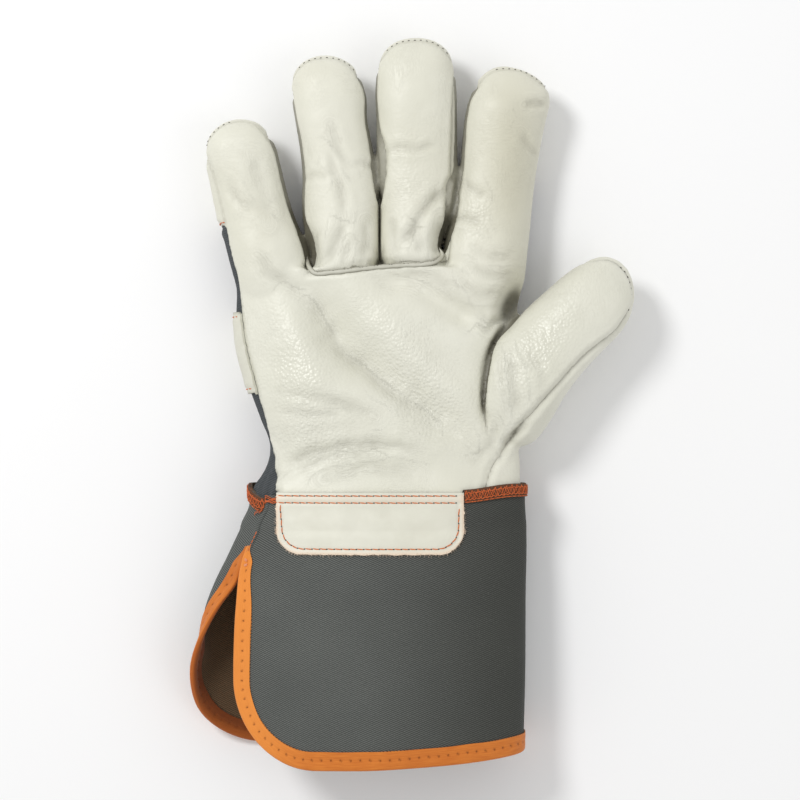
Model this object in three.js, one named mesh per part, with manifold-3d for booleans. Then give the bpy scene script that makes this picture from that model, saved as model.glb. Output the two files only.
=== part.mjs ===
// A right-hand work glove with a gauntlet cuff, lying on its back with the palm up.
// Millimetres. +Z is up, +Y runs from the cuff to the fingertips, and the thumb is towards +X.
// Every piece is a thin wall. The hand is one hollow form of tapering tubes, cut into its sewn panels.

import * as THREE from "three";
import { mergeVertices } from "three/addons/utils/BufferGeometryUtils.js";
import Module from "manifold-3d";

const wasm = await Module();
wasm.setup();

// Thicknesses
const WALL = 1.5;
const CUFF_WALL = 1.4;
const TAPE = 0.7;
const SEAM_GAP = 0.3;
const WRIST_EASE = 1.4;
const TAPE_EASE = 0.6;
const PATCH_EASE = 0.6;

// The side seam between palm and back, and the strips that form the sides of the fingers
const SIDE_SEAM_Z = 15;
const FORK_LOW_Z = 11;
const FORK_HIGH_Z = 22;
const FORK_INSET = 4;

// How far a section is cut off flat where it rests
const FLATTENED = 1.2;
const FINGER_SIDES = 14;
const PALM_SIDES = 24;
const CAP_RINGS = 3;
// How far past the last ring of a rounded tip its end is, in rings, and how blunt the tip is
const CAP_END = 0.35;
const CAP_BLUNT = 0.85;
const ABOVE = 90;
const BELOW = -20;

// Strap over the knuckles
const STRAP_FROM_Y = 5;
const STRAP_TO_Y = 41;

// One row for each section, from the wrist to the tip: the middle of the section, half its width, and its
// lowest and highest point. cap is the length of the rounded tip beyond the last row, and tipEdge the
// distance from the end of the tip to the edge of the leather tip piece on the back.
const DIGITS = {
  little: {
    cap: 17,
    tipEdge: 48,
    rows: [
      { x: -57.0, y: 38.0, half: 14.0, low: 6, high: 26 },
      { x: -65.0, y: 62.0, half: 16.6, low: 2, high: 33 },
      { x: -70.2, y: 80.0, half: 16.6, low: 2, high: 31 },
      { x: -73.8, y: 93.0, half: 16.8, low: 3, high: 31 },
      { x: -76.7, y: 110.7, half: 16.4, low: 6, high: 31 },
    ],
  },
  ring: {
    cap: 16.5,
    tipEdge: 50,
    rows: [
      { x: -31.5, y: 42.0, half: 14.0, low: 6, high: 27 },
      { x: -32.4, y: 67.0, half: 16.2, low: 2, high: 34 },
      { x: -34.9, y: 108.0, half: 15.7, low: 3, high: 31 },
      { x: -37.2, y: 128.0, half: 16.4, low: 6, high: 32 },
      { x: -38.5, y: 140.0, half: 16.2, low: 8, high: 32 },
    ],
  },
  middle: {
    cap: 18,
    tipEdge: 52,
    rows: [
      { x: 1.4, y: 42.0, half: 14.0, low: 6, high: 27 },
      { x: 1.0, y: 67.0, half: 16.0, low: 2, high: 34 },
      { x: 1.8, y: 105.0, half: 17.8, low: 3, high: 32 },
      { x: 1.2, y: 128.0, half: 18.0, low: 6, high: 33 },
      { x: 1.0, y: 147.0, half: 18.0, low: 8, high: 33 },
    ],
  },
  index: {
    cap: 17,
    tipEdge: 50,
    rows: [
      { x: 29.5, y: 40.0, half: 14.0, low: 6, high: 27 },
      { x: 34.4, y: 67.0, half: 16.6, low: 2, high: 34 },
      { x: 37.4, y: 85.0, half: 16.2, low: 2, high: 32 },
      { x: 38.9, y: 105.0, half: 16.6, low: 3, high: 32 },
      { x: 41.0, y: 124.0, half: 18.0, low: 6, high: 32 },
      { x: 43.0, y: 135.0, half: 18.4, low: 8, high: 32 },
    ],
  },
  thumb: {
    cap: 16,
    rows: [
      { x: 27.0, y: -18.0, half: 15.0, low: 8, high: 35 },
      { x: 41.0, y: 1.0, half: 19.5, low: 6, high: 40 },
      { x: 57.0, y: 20.0, half: 19.6, low: 7, high: 40 },
      { x: 72.5, y: 36.5, half: 17.6, low: 9, high: 39 },
      { x: 84.3, y: 49.5, half: 15.8, low: 11, high: 37 },
    ],
  },
};
const FINGERS = ["little", "ring", "middle", "index"];

// The palm, from inside the cuff up to the roots of the fingers: its left and right edge instead of a middle
const PALM = [
  { left: -72.6, right: 50.2, y: -43, low: 5, high: 41 },
  { left: -72.6, right: 50.2, y: -38, low: 5, high: 41 },
  { left: -70.2, right: 49.0, y: -34, low: 5, high: 39 },
  { left: -64.6, right: 47.6, y: -27, low: 4, high: 38 },
  { left: -63.8, right: 46.0, y: -18, low: 3, high: 39 },
  { left: -69.5, right: 44.5, y: 0, low: 1.8, high: 39 },
  { left: -77.0, right: 44.5, y: 22, low: 1.8, high: 36 },
  { left: -79.4, right: 46.5, y: 41, low: 1.8, high: 35 },
  { left: -81.5, right: 50.5, y: 61, low: 1.8, high: 35 },
];

// Dents and swellings of the palm side: a round bell of the given radii that raises or lowers the upper wall
const DENTS = [
  { x: -12, y: 20, across: 30, along: 22, rise: -5.0 },
  { x: -52, y: 2, across: 16, along: 26, rise: 2.0 },
  { x: 34, y: 14, across: 7, along: 22, rise: -4.0 },
  { x: 41, y: 39, across: 9, along: 9, rise: -5.0 },
];

// Seams on the palm side, seen from above
const ULNAR_SEAM = [
  { x: -60.8, y: -50.0 },
  { x: -61.7, y: -27.5 },
  { x: -64.4, y: -14.9 },
  { x: -70.0, y: 6.3 },
  { x: -77.0, y: 38.7 },
  { x: -82.8, y: 69.8 },
  { x: -85.5, y: 86.0 },
  { x: -91.4, y: 103.7 },
  { x: -96.0, y: 114.3 },
];
const THUMB_SEAM = [
  { x: 101.0, y: 46.0 },
  { x: 95.9, y: 38.7 },
  { x: 83.5, y: 26.3 },
  { x: 64.8, y: 8.7 },
  { x: 54.5, y: -2.7 },
  { x: 40.0, y: -21.0 },
];
const WRIST_SEAM = [
  { x: 34.9, y: -28.4 },
  { x: 32.3, y: -36.8 },
  { x: 32.3, y: -50.0 },
];
const CREASE_SEAM = [
  { x: 47.0, y: 38.0 },
  { x: 38.0, y: 29.4 },
  { x: 34.9, y: 22.1 },
  { x: 32.6, y: 8.0 },
  { x: 34.4, y: -17.0 },
];
const CROSS_SEAM = [
  { x: -46.8, y: 59.4 },
  { x: -31.0, y: 58.6 },
  { x: -14.0, y: 60.4 },
  { x: 15.6, y: 61.6 },
];

// The cuff. Each section runs from the edge of the front flap over the top, round the fold on the thumb
// side, and back along the floor to the edge of the back flap.
const CUFF_TOP_Y = -38;
const CUFF_JOIN_Y = -44;
const BELLY_Z = 2.0;
const HEM_CORNER = 38;
const CUFF_COLUMNS = 30;
// Its rows of points, as shares of the way from its top to its hem: close together where it opens out
const CUFF_LEVELS = [0, 0.05, 0.1, 0.15, 0.28, 0.48, 0.73, 1];
// The upper half, from the front flap's edge over the top to the fold on the thumb side
const CUFF_UPPER = [
  { y: -56, frontX: -69.5, frontZ: 35, crownZ: 43, foldX: 50.4, foldZ: 22 },
  { y: -68, frontX: -74.5, frontZ: 33, crownZ: 46, foldX: 50.6, foldZ: 23 },
  { y: -90, frontX: -77.6, frontZ: 37, crownZ: 50, foldX: 50.2, foldZ: 24 },
  { y: -112, frontX: -78.6, frontZ: 39, crownZ: 53, foldX: 49.6, foldZ: 25 },
  { y: -138, frontX: -78.0, frontZ: 39, crownZ: 55, foldX: 49.0, foldZ: 26 },
  { y: -170, frontX: -76.0, frontZ: 40, crownZ: 56, foldX: 48.6, foldZ: 27 },
];
// The lower half, which lies on the floor and curls up to the back flap's edge
const CUFF_LOWER = [
  { y: -56, sideX: -78, backX: -69.7, backZ: 34.4 },
  { y: -68, sideX: -84, backX: -75.2, backZ: 31.8 },
  { y: -90, sideX: -93, backX: -87.0, backZ: 29.0 },
  { y: -112, sideX: -94, backX: -96.0, backZ: 25.0 },
  { y: -138, sideX: -91, backX: -98.0, backZ: 20.0 },
  { y: -170, sideX: -86, backX: -96.0, backZ: 15.0 },
];
// The hem at the front flap's edge, at the fold and at the back flap's edge, and how far round the fold is
const HEM = { frontY: -161.0, foldY: -153.0, backY: -153.0, foldShare: 0.44 };

const PATCH = {
  left: -60.2,
  right: 22.1,
  topY: -39.5,
  bottomY: -66.4,
  corner: 10,
  wall: 1.5,
  columns: 14,
  crowding: 0.1,
  levels: [0, 0.17, 0.39, 0.61, 1],
};
const BAND = { topY: -37.5, bottomY: -45, wall: 1.2 };
const BINDING = { width: 6, startY: -75 };

const COLOURS = {
  leather: { color: 0xdad8c8, roughness: 0.55 },
  canvas: { color: 0x4b4e50, roughness: 0.9 },
  twill: { color: 0x54575a, roughness: 0.85 },
  tape: { color: 0xd5752b, roughness: 0.8 },
};

// Small helpers

const lerp = (a, b, t) => a + (b - a) * t;
const signedPower = (v, p) => Math.sign(v) * Math.abs(v) ** p;
const smooth = (t) => t * t * (3 - 2 * t);

// A table's row at any y, on smooth curves through its rows
function rowAt(rows, y) {
  const sorted = rows[0].y < rows[rows.length - 1].y ? rows : [...rows].reverse();
  const last = sorted.length - 1;
  const clamped = Math.min(Math.max(y, sorted[0].y), sorted[last].y);
  const next = Math.max(1, sorted.findIndex((row) => row.y >= clamped));
  const near = (i) => sorted[Math.min(Math.max(i, 0), last)];
  const [before, a, b, after] = [near(next - 2), near(next - 1), near(next), near(next + 1)];
  const span = b.y - a.y;
  const t = (clamped - a.y) / span;
  const blend = (key) => {
    const slopeA = ((b[key] - before[key]) / (b.y - before.y)) * span;
    const slopeB = ((after[key] - a[key]) / (after.y - a.y)) * span;
    const rise = smooth(t) * (b[key] - a[key]);
    return a[key] + rise + t * (1 - t) * ((1 - t) * slopeA - t * slopeB);
  };
  return Object.fromEntries(Object.keys(a).map((key) => [key, blend(key)]));
}

function dent(x, y) {
  const bell = (d) => d.rise * Math.exp(-(((x - d.x) / d.across) ** 2) - ((y - d.y) / d.along) ** 2);
  return DENTS.reduce((sum, d) => sum + bell(d), 0);
}

// A closed mesh as a solid
function solid(geometry) {
  const bare = geometry.clone();
  bare.deleteAttribute("normal");
  bare.deleteAttribute("uv");
  const merged = mergeVertices(bare, 1e-4);
  const mesh = new wasm.Mesh({
    numProp: 3,
    vertProperties: merged.attributes.position.array,
    triVerts: new Uint32Array(merged.index.array),
  });
  return new wasm.Manifold(mesh);
}

// The largest body of a solid, as a geometry: cutting can leave slivers behind
function geometryOf(shape) {
  const bodies = shape.decompose().sort((a, b) => b.volume() - a.volume());
  const mesh = bodies[0].getMesh();
  const geometry = new THREE.BufferGeometry();
  geometry.setAttribute("position", new THREE.BufferAttribute(mesh.vertProperties, 3));
  geometry.setIndex(new THREE.BufferAttribute(mesh.triVerts, 1));
  return geometry;
}

function geometryFrom(points, faces) {
  const geometry = new THREE.BufferGeometry();
  geometry.setAttribute("position", new THREE.Float32BufferAttribute(points.flat(), 3));
  geometry.setIndex(faces);
  return geometry;
}

// A closed tube through rings with equal numbers of points, each end closed by a fan to its middle
function loft(rings) {
  const sides = rings[0].length;
  const points = rings.flat();
  const faces = [];
  for (let r = 0; r + 1 < rings.length; r++) {
    for (let k = 0; k < sides; k++) {
      const [a, b] = [r * sides + k, r * sides + ((k + 1) % sides)];
      faces.push(a, a + sides, b, b, a + sides, b + sides);
    }
  }
  for (const last of [false, true]) {
    const ring = last ? rings[rings.length - 1] : rings[0];
    const start = last ? (rings.length - 1) * sides : 0;
    const middle = [0, 1, 2].map((axis) => ring.reduce((sum, p) => sum + p[axis], 0) / sides);
    points.push(middle);
    for (let k = 0; k < sides; k++) {
      const [a, b] = [start + k, start + ((k + 1) % sides)];
      faces.push(...(last ? [b, a, points.length - 1] : [a, b, points.length - 1]));
    }
  }
  return solid(geometryFrom(points, faces));
}

// One section of a tube: a rounded oblong across `across`, grown outwards, flat where it rests
function section(row, across, grow, sides, squareness) {
  const middle = (row.low + row.high) / 2;
  const reach = row.half + grow;
  const ring = [];
  for (let k = 0; k < sides; k++) {
    const angle = (2 * Math.PI * k) / sides;
    const out = signedPower(Math.cos(angle), 2 / squareness) * reach;
    const up = signedPower(Math.sin(angle), 2 / squareness);
    const [x, y] = [row.x + across.x * out, row.y + across.y * out];
    const top = row.high - middle + grow;
    const bottom = middle - row.low + grow + FLATTENED;
    const z = up > 0 ? middle + up * (top + dent(x, y)) : middle + up * bottom;
    ring.push([x, y, Math.max(z, row.low - grow)]);
  }
  return ring;
}

// The direction across a digit at row i
function acrossAt(rows, i) {
  const [a, b] = [rows[Math.max(i - 1, 0)], rows[Math.min(i + 1, rows.length - 1)]];
  const along = new THREE.Vector2(b.x - a.x, b.y - a.y).normalize();
  return { x: along.y, y: -along.x };
}

function digitTube(digit, grow) {
  const { rows, cap } = digit;
  const rings = rows.map((row, i) => section(row, acrossAt(rows, i), grow, FINGER_SIDES, 2.3));
  const root = acrossAt(rows, 0);
  rings[0].forEach((point) => {
    point[0] += root.y * grow;
    point[1] -= root.x * grow;
  });
  const last = rows[rows.length - 1];
  const across = acrossAt(rows, rows.length - 1);
  const along = { x: -across.y, y: across.x };
  for (let r = 1; r <= CAP_RINGS; r++) {
    const angle = (Math.PI / 2) * (r / (CAP_RINGS + CAP_END));
    const out = (cap + grow) * Math.sin(angle);
    const keep = Math.cos(angle) ** CAP_BLUNT;
    const middle = (last.low + last.high) / 2;
    const tall = (last.high - last.low) / 2;
    const row = {
      x: last.x + along.x * out,
      y: last.y + along.y * out,
      half: (last.half + grow) * keep - grow,
      low: middle - (tall + grow) * keep + grow,
      high: middle + (tall + grow) * keep - grow,
    };
    rings.push(section(row, across, grow, FINGER_SIDES, 2.3));
  }
  return loft(rings);
}

function palmRow(y) {
  const row = rowAt(PALM, y);
  return { ...row, x: (row.left + row.right) / 2, half: (row.right - row.left) / 2 };
}

function palmRing(y, grow) {
  return section(palmRow(y), { x: 1, y: 0 }, grow, PALM_SIDES, 2.6);
}

function palmTube(grow, extra) {
  const rings = PALM.map((row) => palmRing(row.y, grow));
  rings[0].forEach((point) => (point[1] -= extra));
  rings[rings.length - 1].forEach((point) => (point[1] += grow));
  return loft(rings);
}

// The whole hand as one solid form, grown outwards, and reaching `extra` further into the cuff
function hand(grow, extra) {
  const tubes = Object.values(DIGITS).map((digit) => digitTube(digit, grow));
  return tubes.reduce((sum, tube) => sum.add(tube), palmTube(grow, extra));
}

// Zones: outlines seen from above, between two heights

function offsetOutline(outline, by) {
  const points = outline.map((p) => new THREE.Vector2(p.x, p.y));
  const side = THREE.ShapeUtils.area(points) > 0 ? 1 : -1;
  return points.map((p, i) => {
    const before = points[(i + points.length - 1) % points.length];
    const after = points[(i + 1) % points.length];
    const one = p.clone().sub(before).normalize();
    const two = after.clone().sub(p).normalize();
    const mean = one.add(two).normalize();
    return new THREE.Vector2(p.x + side * mean.y * by, p.y - side * mean.x * by);
  });
}

function zoneSolid(zone, grow) {
  const shape = new THREE.Shape(offsetOutline(zone.outline, grow));
  const depth = zone.top - zone.bottom + 2 * grow;
  const geometry = new THREE.ExtrudeGeometry(shape, { depth, bevelEnabled: false });
  geometry.translate(0, 0, zone.bottom - grow);
  return solid(geometry);
}

const box = (x0, x1, y0, y1) => [
  { x: x0, y: y0 },
  { x: x1, y: y0 },
  { x: x1, y: y1 },
  { x: x0, y: y1 },
];

// Points along one side of a digit, moved inwards from its edge
function edgePoints(name, side, inset, fromY) {
  const { rows } = DIGITS[name];
  return rows
    .map((row, i) => {
      const across = acrossAt(rows, i);
      const out = side * (row.half - inset);
      return { x: row.x + across.x * out, y: row.y + across.y * out };
    })
    .filter((p) => p.y > fromY);
}

const CROTCH_Y = 56;

// The strip that lines the gap between two neighbouring fingers
function forkZone(leftName, rightName) {
  const left = edgePoints(leftName, 1, FORK_INSET, CROTCH_Y + 5);
  const right = edgePoints(rightName, -1, FORK_INSET, CROTCH_Y + 5);
  const foot = [
    { x: right[0].x, y: CROTCH_Y },
    { x: left[0].x, y: CROTCH_Y },
  ];
  const outline = [...left, ...[...right].reverse(), ...foot];
  return { outline, bottom: FORK_LOW_Z, top: FORK_HIGH_Z };
}

const gapX = (leftName, rightName) => {
  const left = edgePoints(leftName, 1, 0, 70)[0];
  const right = edgePoints(rightName, -1, 0, 70)[0];
  return (left.x + right.x) / 2;
};

const FAR_Y = 175;
const littleRingX = gapX("little", "ring");
const middleIndexX = gapX("middle", "index");

const ZONES = {
  fork_ring_little: forkZone("little", "ring"),
  fork_middle_ring: forkZone("ring", "middle"),
  fork_index_middle: forkZone("middle", "index"),
  palm_front: {
    bottom: SIDE_SEAM_Z,
    top: ABOVE,
    outline: [
      ...ULNAR_SEAM,
      { x: -99, y: 130 },
      { x: -57, y: FAR_Y },
      { x: littleRingX, y: 75 },
      ...CROSS_SEAM,
      { x: middleIndexX, y: 75 },
      { x: middleIndexX + 4, y: FAR_Y },
      { x: 72, y: FAR_Y },
      { x: 60, y: 60 },
      ...CREASE_SEAM,
      ...WRIST_SEAM,
    ],
  },
  middle_ring_front: {
    bottom: SIDE_SEAM_Z,
    top: ABOVE,
    outline: [
      ...CROSS_SEAM,
      { x: middleIndexX, y: 75 },
      { x: middleIndexX + 4, y: FAR_Y },
      { x: -57, y: FAR_Y },
      { x: littleRingX, y: 75 },
    ],
  },
  thumb_front: {
    bottom: SIDE_SEAM_Z + 5,
    top: ABOVE,
    outline: [
      ...CREASE_SEAM,
      { x: 38.4, y: -24.0 },
      ...[...THUMB_SEAM].reverse(),
      { x: 112, y: 70 },
      { x: 80, y: 85 },
    ],
  },
  thumb_back: {
    bottom: BELOW,
    top: ABOVE,
    outline: [
      { x: 31, y: -50 },
      { x: 62, y: -50 },
      { x: 110, y: 10 },
      { x: 112, y: 80 },
      { x: 80, y: 85 },
      { x: 47.5, y: 38.5 },
      { x: 34, y: 26 },
      { x: 31, y: 0 },
    ],
  },
};

// The leather tip piece on the back of each finger
for (const name of FINGERS) {
  const { rows, cap, tipEdge } = DIGITS[name];
  const last = rows[rows.length - 1];
  const across = acrossAt(rows, rows.length - 1);
  const along = { x: -across.y, y: across.x };
  const corner = (out, on) => ({
    x: last.x + across.x * out + along.x * on,
    y: last.y + across.y * out + along.y * on,
  });
  const [wide, start, end] = [last.half + 1.2, cap - tipEdge, cap + 5];
  ZONES["tip_" + name] = {
    bottom: BELOW,
    top: ABOVE,
    outline: [corner(-wide, start), corner(wide, start), corner(wide, end), corner(-wide, end)],
  };
}

// The hand's panels: each zone of the hollow form that no zone before it has taken, and the cotton back last
function handPanels() {
  const outer = hand(0, 0);
  let rest = outer.subtract(hand(-WALL, 4));
  const panels = new Map();
  for (const [name, zone] of Object.entries(ZONES)) {
    panels.set(name, rest.intersect(zoneSolid(zone, 0)));
    rest = rest.subtract(zoneSolid(zone, SEAM_GAP));
  }
  panels.set("hand_back", rest);
  return panels;
}

// The strap lies on the cotton back, from the little finger seam to the thumb piece
function knuckleStrap() {
  const wide = { outline: box(-120, 120, STRAP_FROM_Y, STRAP_TO_Y), bottom: BELOW, top: ABOVE };
  const layer = palmTube(SEAM_GAP + WALL, 0).subtract(hand(SEAM_GAP, 0)).intersect(zoneSolid(wide, 0));
  return ["palm_front", "thumb_front", "thumb_back"].reduce(
    (left, name) => left.subtract(zoneSolid(ZONES[name], SEAM_GAP)),
    layer,
  );
}

// The cuff's middle surface, by distance round it from the front flap's edge and by y

function resample(curve, count) {
  const lengths = [0];
  for (let i = 1; i < curve.length; i++) {
    lengths.push(lengths[i - 1] + Math.hypot(curve[i][0] - curve[i - 1][0], curve[i][1] - curve[i - 1][1]));
  }
  const total = lengths[lengths.length - 1];
  return Array.from({ length: count }, (_, n) => {
    const at = (total * n) / (count - 1);
    const i = Math.min(Math.max(1, lengths.findIndex((l) => l >= at - 1e-9)), curve.length - 1);
    const t = (at - lengths[i - 1]) / (lengths[i] - lengths[i - 1]);
    return [lerp(curve[i - 1][0], curve[i][0], t), lerp(curve[i - 1][1], curve[i][1], t)];
  });
}

const CURVE_POINTS = 97;

// Round the wrist, starting and ending at the side seam above the little finger edge
function wristCurve() {
  const away = WRIST_EASE + CUFF_WALL / 2;
  const ring = palmRing(CUFF_TOP_Y, away).map(([x, , z]) => [x, z]);
  const seam = ring.findIndex(([x, z]) => z > 20 && x < ULNAR_SEAM[0].x - 1.5);
  const turned = [...ring.slice(0, seam + 1)].reverse().concat([...ring.slice(seam)].reverse());
  const end = turned[turned.length - 1];
  const before = turned[turned.length - 2];
  const back = Math.hypot(end[0] - before[0], end[1] - before[1]);
  const t = (SEAM_GAP * 2) / back;
  turned[turned.length - 1] = [lerp(end[0], before[0], t), lerp(end[1], before[1], t)];
  return resample(turned, CURVE_POINTS);
}

function openCurve(y) {
  const row = { ...rowAt(CUFF_UPPER, y), ...rowAt(CUFF_LOWER, y) };
  const middle = (row.frontX + row.foldX) / 2;
  const turn = row.foldZ - BELLY_Z;
  const knots = [
    [row.frontX, row.frontZ],
    [lerp(row.frontX, middle, 0.45), lerp(row.frontZ, row.crownZ, 0.75)],
    [middle, row.crownZ],
    [lerp(middle, row.foldX, 0.62), lerp(row.crownZ, row.foldZ, 0.18)],
    [row.foldX - 3.2, lerp(row.crownZ, row.foldZ, 0.62)],
    [row.foldX, row.foldZ],
    [row.foldX - 4, BELLY_Z + turn * 0.36],
    [row.foldX - 18, BELLY_Z],
    [middle, BELLY_Z],
    [row.sideX + 26, BELLY_Z],
    [row.sideX + 6, lerp(BELLY_Z, row.backZ, 0.28)],
    [Math.min(row.sideX + 1, row.backX + 3), lerp(BELLY_Z, row.backZ, 0.66)],
    [row.backX, row.backZ],
  ].map(([x, z]) => new THREE.Vector3(x, z, 0));
  const spline = new THREE.CatmullRomCurve3(knots, false, "centripetal");
  const points = spline.getPoints(160).map((p) => [p.x, Math.max(p.y, BELLY_Z)]);
  return resample(points, CURVE_POINTS);
}

const wrist = wristCurve();

function cuffCurve(y) {
  if (y >= CUFF_JOIN_Y) return wrist;
  const first = CUFF_UPPER[0].y;
  if (y >= first) {
    const t = smooth((CUFF_JOIN_Y - y) / (CUFF_JOIN_Y - first));
    const open = openCurve(first);
    return wrist.map((p, i) => [lerp(p[0], open[i][0], t), lerp(p[1], open[i][1], t)]);
  }
  return openCurve(y);
}

const curveCache = new Map();

function curveAt(y) {
  const key = Math.round(y * 50);
  if (!curveCache.has(key)) curveCache.set(key, cuffCurve(y));
  return curveCache.get(key);
}

// The share of the way round at which the cuff's upper side has this x
function upperShare(x, y) {
  const curve = curveAt(y);
  const next = curve.findIndex((point) => point[0] >= x);
  const before = curve[next - 1][0];
  return (next - 1 + (x - before) / (curve[next][0] - before)) / (CURVE_POINTS - 1);
}

function cuffPoint(share, y, away) {
  const curve = curveAt(y);
  const at = Math.min(Math.max(share, 0), 1) * (CURVE_POINTS - 1);
  const i = Math.min(Math.floor(at), CURVE_POINTS - 2);
  const [a, b] = [curve[i], curve[i + 1]];
  const [p, q] = [curve[Math.max(i - 1, 0)], curve[Math.min(i + 2, CURVE_POINTS - 1)]];
  const length = Math.hypot(q[0] - p[0], q[1] - p[1]);
  const normal = [-(q[1] - p[1]) / length, (q[0] - p[0]) / length];
  const t = at - i;
  return [lerp(a[0], b[0], t) + normal[0] * away, y, lerp(a[1], b[1], t) + normal[1] * away];
}

function curveLength(curve) {
  return curve.slice(1).reduce((sum, p, i) => sum + Math.hypot(p[0] - curve[i][0], p[1] - curve[i][1]), 0);
}

const CUFF_ROUND = curveLength(cuffCurve(-100));

// The hem's y at a share of the way round, with the two corners of the flaps rounded
function hemY(share) {
  const { foldShare } = HEM;
  const straight =
    share < foldShare
      ? lerp(HEM.frontY, HEM.foldY, smooth(share / foldShare))
      : lerp(HEM.foldY, HEM.backY, smooth((share - foldShare) / (1 - foldShare)));
  const fromEdge = Math.min(share, 1 - share) * CUFF_ROUND;
  const inside = Math.max(HEM_CORNER - fromEdge, 0);
  return straight + HEM_CORNER - Math.sqrt(HEM_CORNER ** 2 - inside ** 2);
}

// A sheet between two offsets from the cuff's middle surface, as a closed solid.
// levels are its rows. bottomAt gives the lower end of each column, and shareAt its share of the way round.
function sheet(columns, levels, topY, bottomAt, inner, outer, shareAt = (column) => column) {
  const points = [];
  const width = columns.length;
  const rows = levels.length - 1;
  for (const away of [outer, inner]) {
    for (const level of levels) {
      for (const column of columns) {
        const y = lerp(topY, bottomAt(column), level);
        points.push(cuffPoint(shareAt(column, y), y, away));
      }
    }
  }
  const layer = width * (rows + 1);
  const faces = [];
  const quad = (a, b, c, d) => faces.push(a, b, c, a, c, d);
  for (let r = 0; r < rows; r++) {
    for (let k = 0; k + 1 < width; k++) {
      const a = r * width + k;
      quad(a, a + width, a + width + 1, a + 1);
      quad(a + layer, a + layer + 1, a + layer + width + 1, a + layer + width);
    }
    const [left, right] = [r * width, r * width + width - 1];
    quad(left, left + layer, left + layer + width, left + width);
    quad(right, right + width, right + layer + width, right + layer);
  }
  for (let k = 0; k + 1 < width; k++) {
    const [top, bottom] = [k, rows * width + k];
    quad(top, top + 1, top + layer + 1, top + layer);
    quad(bottom, bottom + layer, bottom + layer + 1, bottom + 1);
  }
  return solid(geometryFrom(points, faces));
}

// How sharply a curve turns at each of its steps
function turning(curve) {
  const heading = (i) => Math.atan2(curve[i + 1][1] - curve[i][1], curve[i + 1][0] - curve[i][0]);
  return curve.slice(1).map((_, i) => {
    if (i === 0) return 0;
    const turn = heading(i) - heading(i - 1);
    return Math.abs(Math.atan2(Math.sin(turn), Math.cos(turn)));
  });
}

// Columns that crowd together where the cuff bends, and at the rounded corners of its two flaps
function cuffShares() {
  const [top, low] = [turning(wrist), turning(cuffCurve(-120))];
  const cornerShare = (HEM_CORNER * 0.6) / CUFF_ROUND;
  const weights = top.map((turn, i) => {
    const fromEnd = Math.min(i, top.length - 1 - i) / top.length;
    return 1 / top.length + 0.1 * turn + 0.04 * low[i] + (fromEnd < cornerShare ? 0.012 : 0);
  });
  const total = weights.reduce((sum, w) => sum + w, 0);
  const shares = [0];
  let sum = 0;
  for (let i = 0; i < weights.length; i++) {
    const next = sum + weights[i] / total;
    while (shares.length / CUFF_COLUMNS <= next + 1e-9 && shares.length < CUFF_COLUMNS) {
      shares.push((i + (shares.length / CUFF_COLUMNS - sum) / (next - sum)) / weights.length);
    }
    sum = next;
  }
  return [...shares, 1];
}

function cuff(grow) {
  const half = CUFF_WALL / 2 + grow;
  return sheet(cuffShares(), CUFF_LEVELS, CUFF_TOP_Y, hemY, -half, half);
}

// The tape folded round the slit's two edges and the hem, as one swept channel
function cuffBinding() {
  const half = CUFF_WALL / 2 + TAPE_EASE;
  const beyond = TAPE_EASE;
  const shares = cuffShares();
  const path = [];
  const sideSteps = 6;
  for (let i = 0; i < sideSteps; i++) {
    path.push({ share: 0, y: lerp(BINDING.startY, hemY(0), i / sideSteps) });
  }
  for (const share of shares) path.push({ share, y: hemY(share) });
  for (let i = 1; i <= sideSteps; i++) {
    path.push({ share: 1, y: lerp(hemY(1), BINDING.startY, i / sideSteps) });
  }
  const profile = [
    [BINDING.width, half + TAPE],
    [-beyond - TAPE, half + TAPE],
    [-beyond - TAPE, -half - TAPE],
    [BINDING.width, -half - TAPE],
    [BINDING.width, -half],
    [-beyond, -half],
    [-beyond, half],
    [BINDING.width, half],
  ];
  const rings = path.map((at, i) => {
    const [a, b] = [path[Math.max(i - 1, 0)], path[Math.min(i + 1, path.length - 1)]];
    const along = new THREE.Vector2((b.share - a.share) * CUFF_ROUND, b.y - a.y).normalize();
    const inward = { round: -along.y, y: along.x };
    return profile.map(([inset, away]) => {
      const share = at.share + (inward.round * inset) / CUFF_ROUND;
      const y = at.y + inward.y * inset;
      const clamped = Math.min(Math.max(share, 0), 1);
      const point = cuffPoint(clamped, y, away);
      const spare = (share - clamped) * CUFF_ROUND;
      if (spare === 0) return point;
      const edge = cuffPoint(clamped, y, 0);
      const nearEdge = cuffPoint(clamped - Math.sign(spare) * 0.01, y, 0);
      const out = new THREE.Vector3(edge[0] - nearEdge[0], 0, edge[2] - nearEdge[2]).normalize();
      return [point[0] + out.x * Math.abs(spare), y, point[2] + out.z * Math.abs(spare)];
    });
  });
  return channel(rings);
}

// A closed solid swept through rings that need not be convex; its ends are closed by strips
function channel(rings) {
  const sides = rings[0].length;
  const points = rings.flat();
  const faces = [];
  for (let r = 0; r + 1 < rings.length; r++) {
    for (let k = 0; k < sides; k++) {
      const [a, b] = [r * sides + k, r * sides + ((k + 1) % sides)];
      faces.push(a, b, a + sides, b, b + sides, a + sides);
    }
  }
  const last = (rings.length - 1) * sides;
  const strips = [
    [0, 1, 6, 7],
    [1, 2, 5, 6],
    [2, 3, 4, 5],
  ];
  for (const [a, b, c, d] of strips) {
    faces.push(b, a, c, a, d, c);
    faces.push(last + a, last + b, last + c, last + a, last + c, last + d);
  }
  return solid(geometryFrom(points, faces));
}

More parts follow.
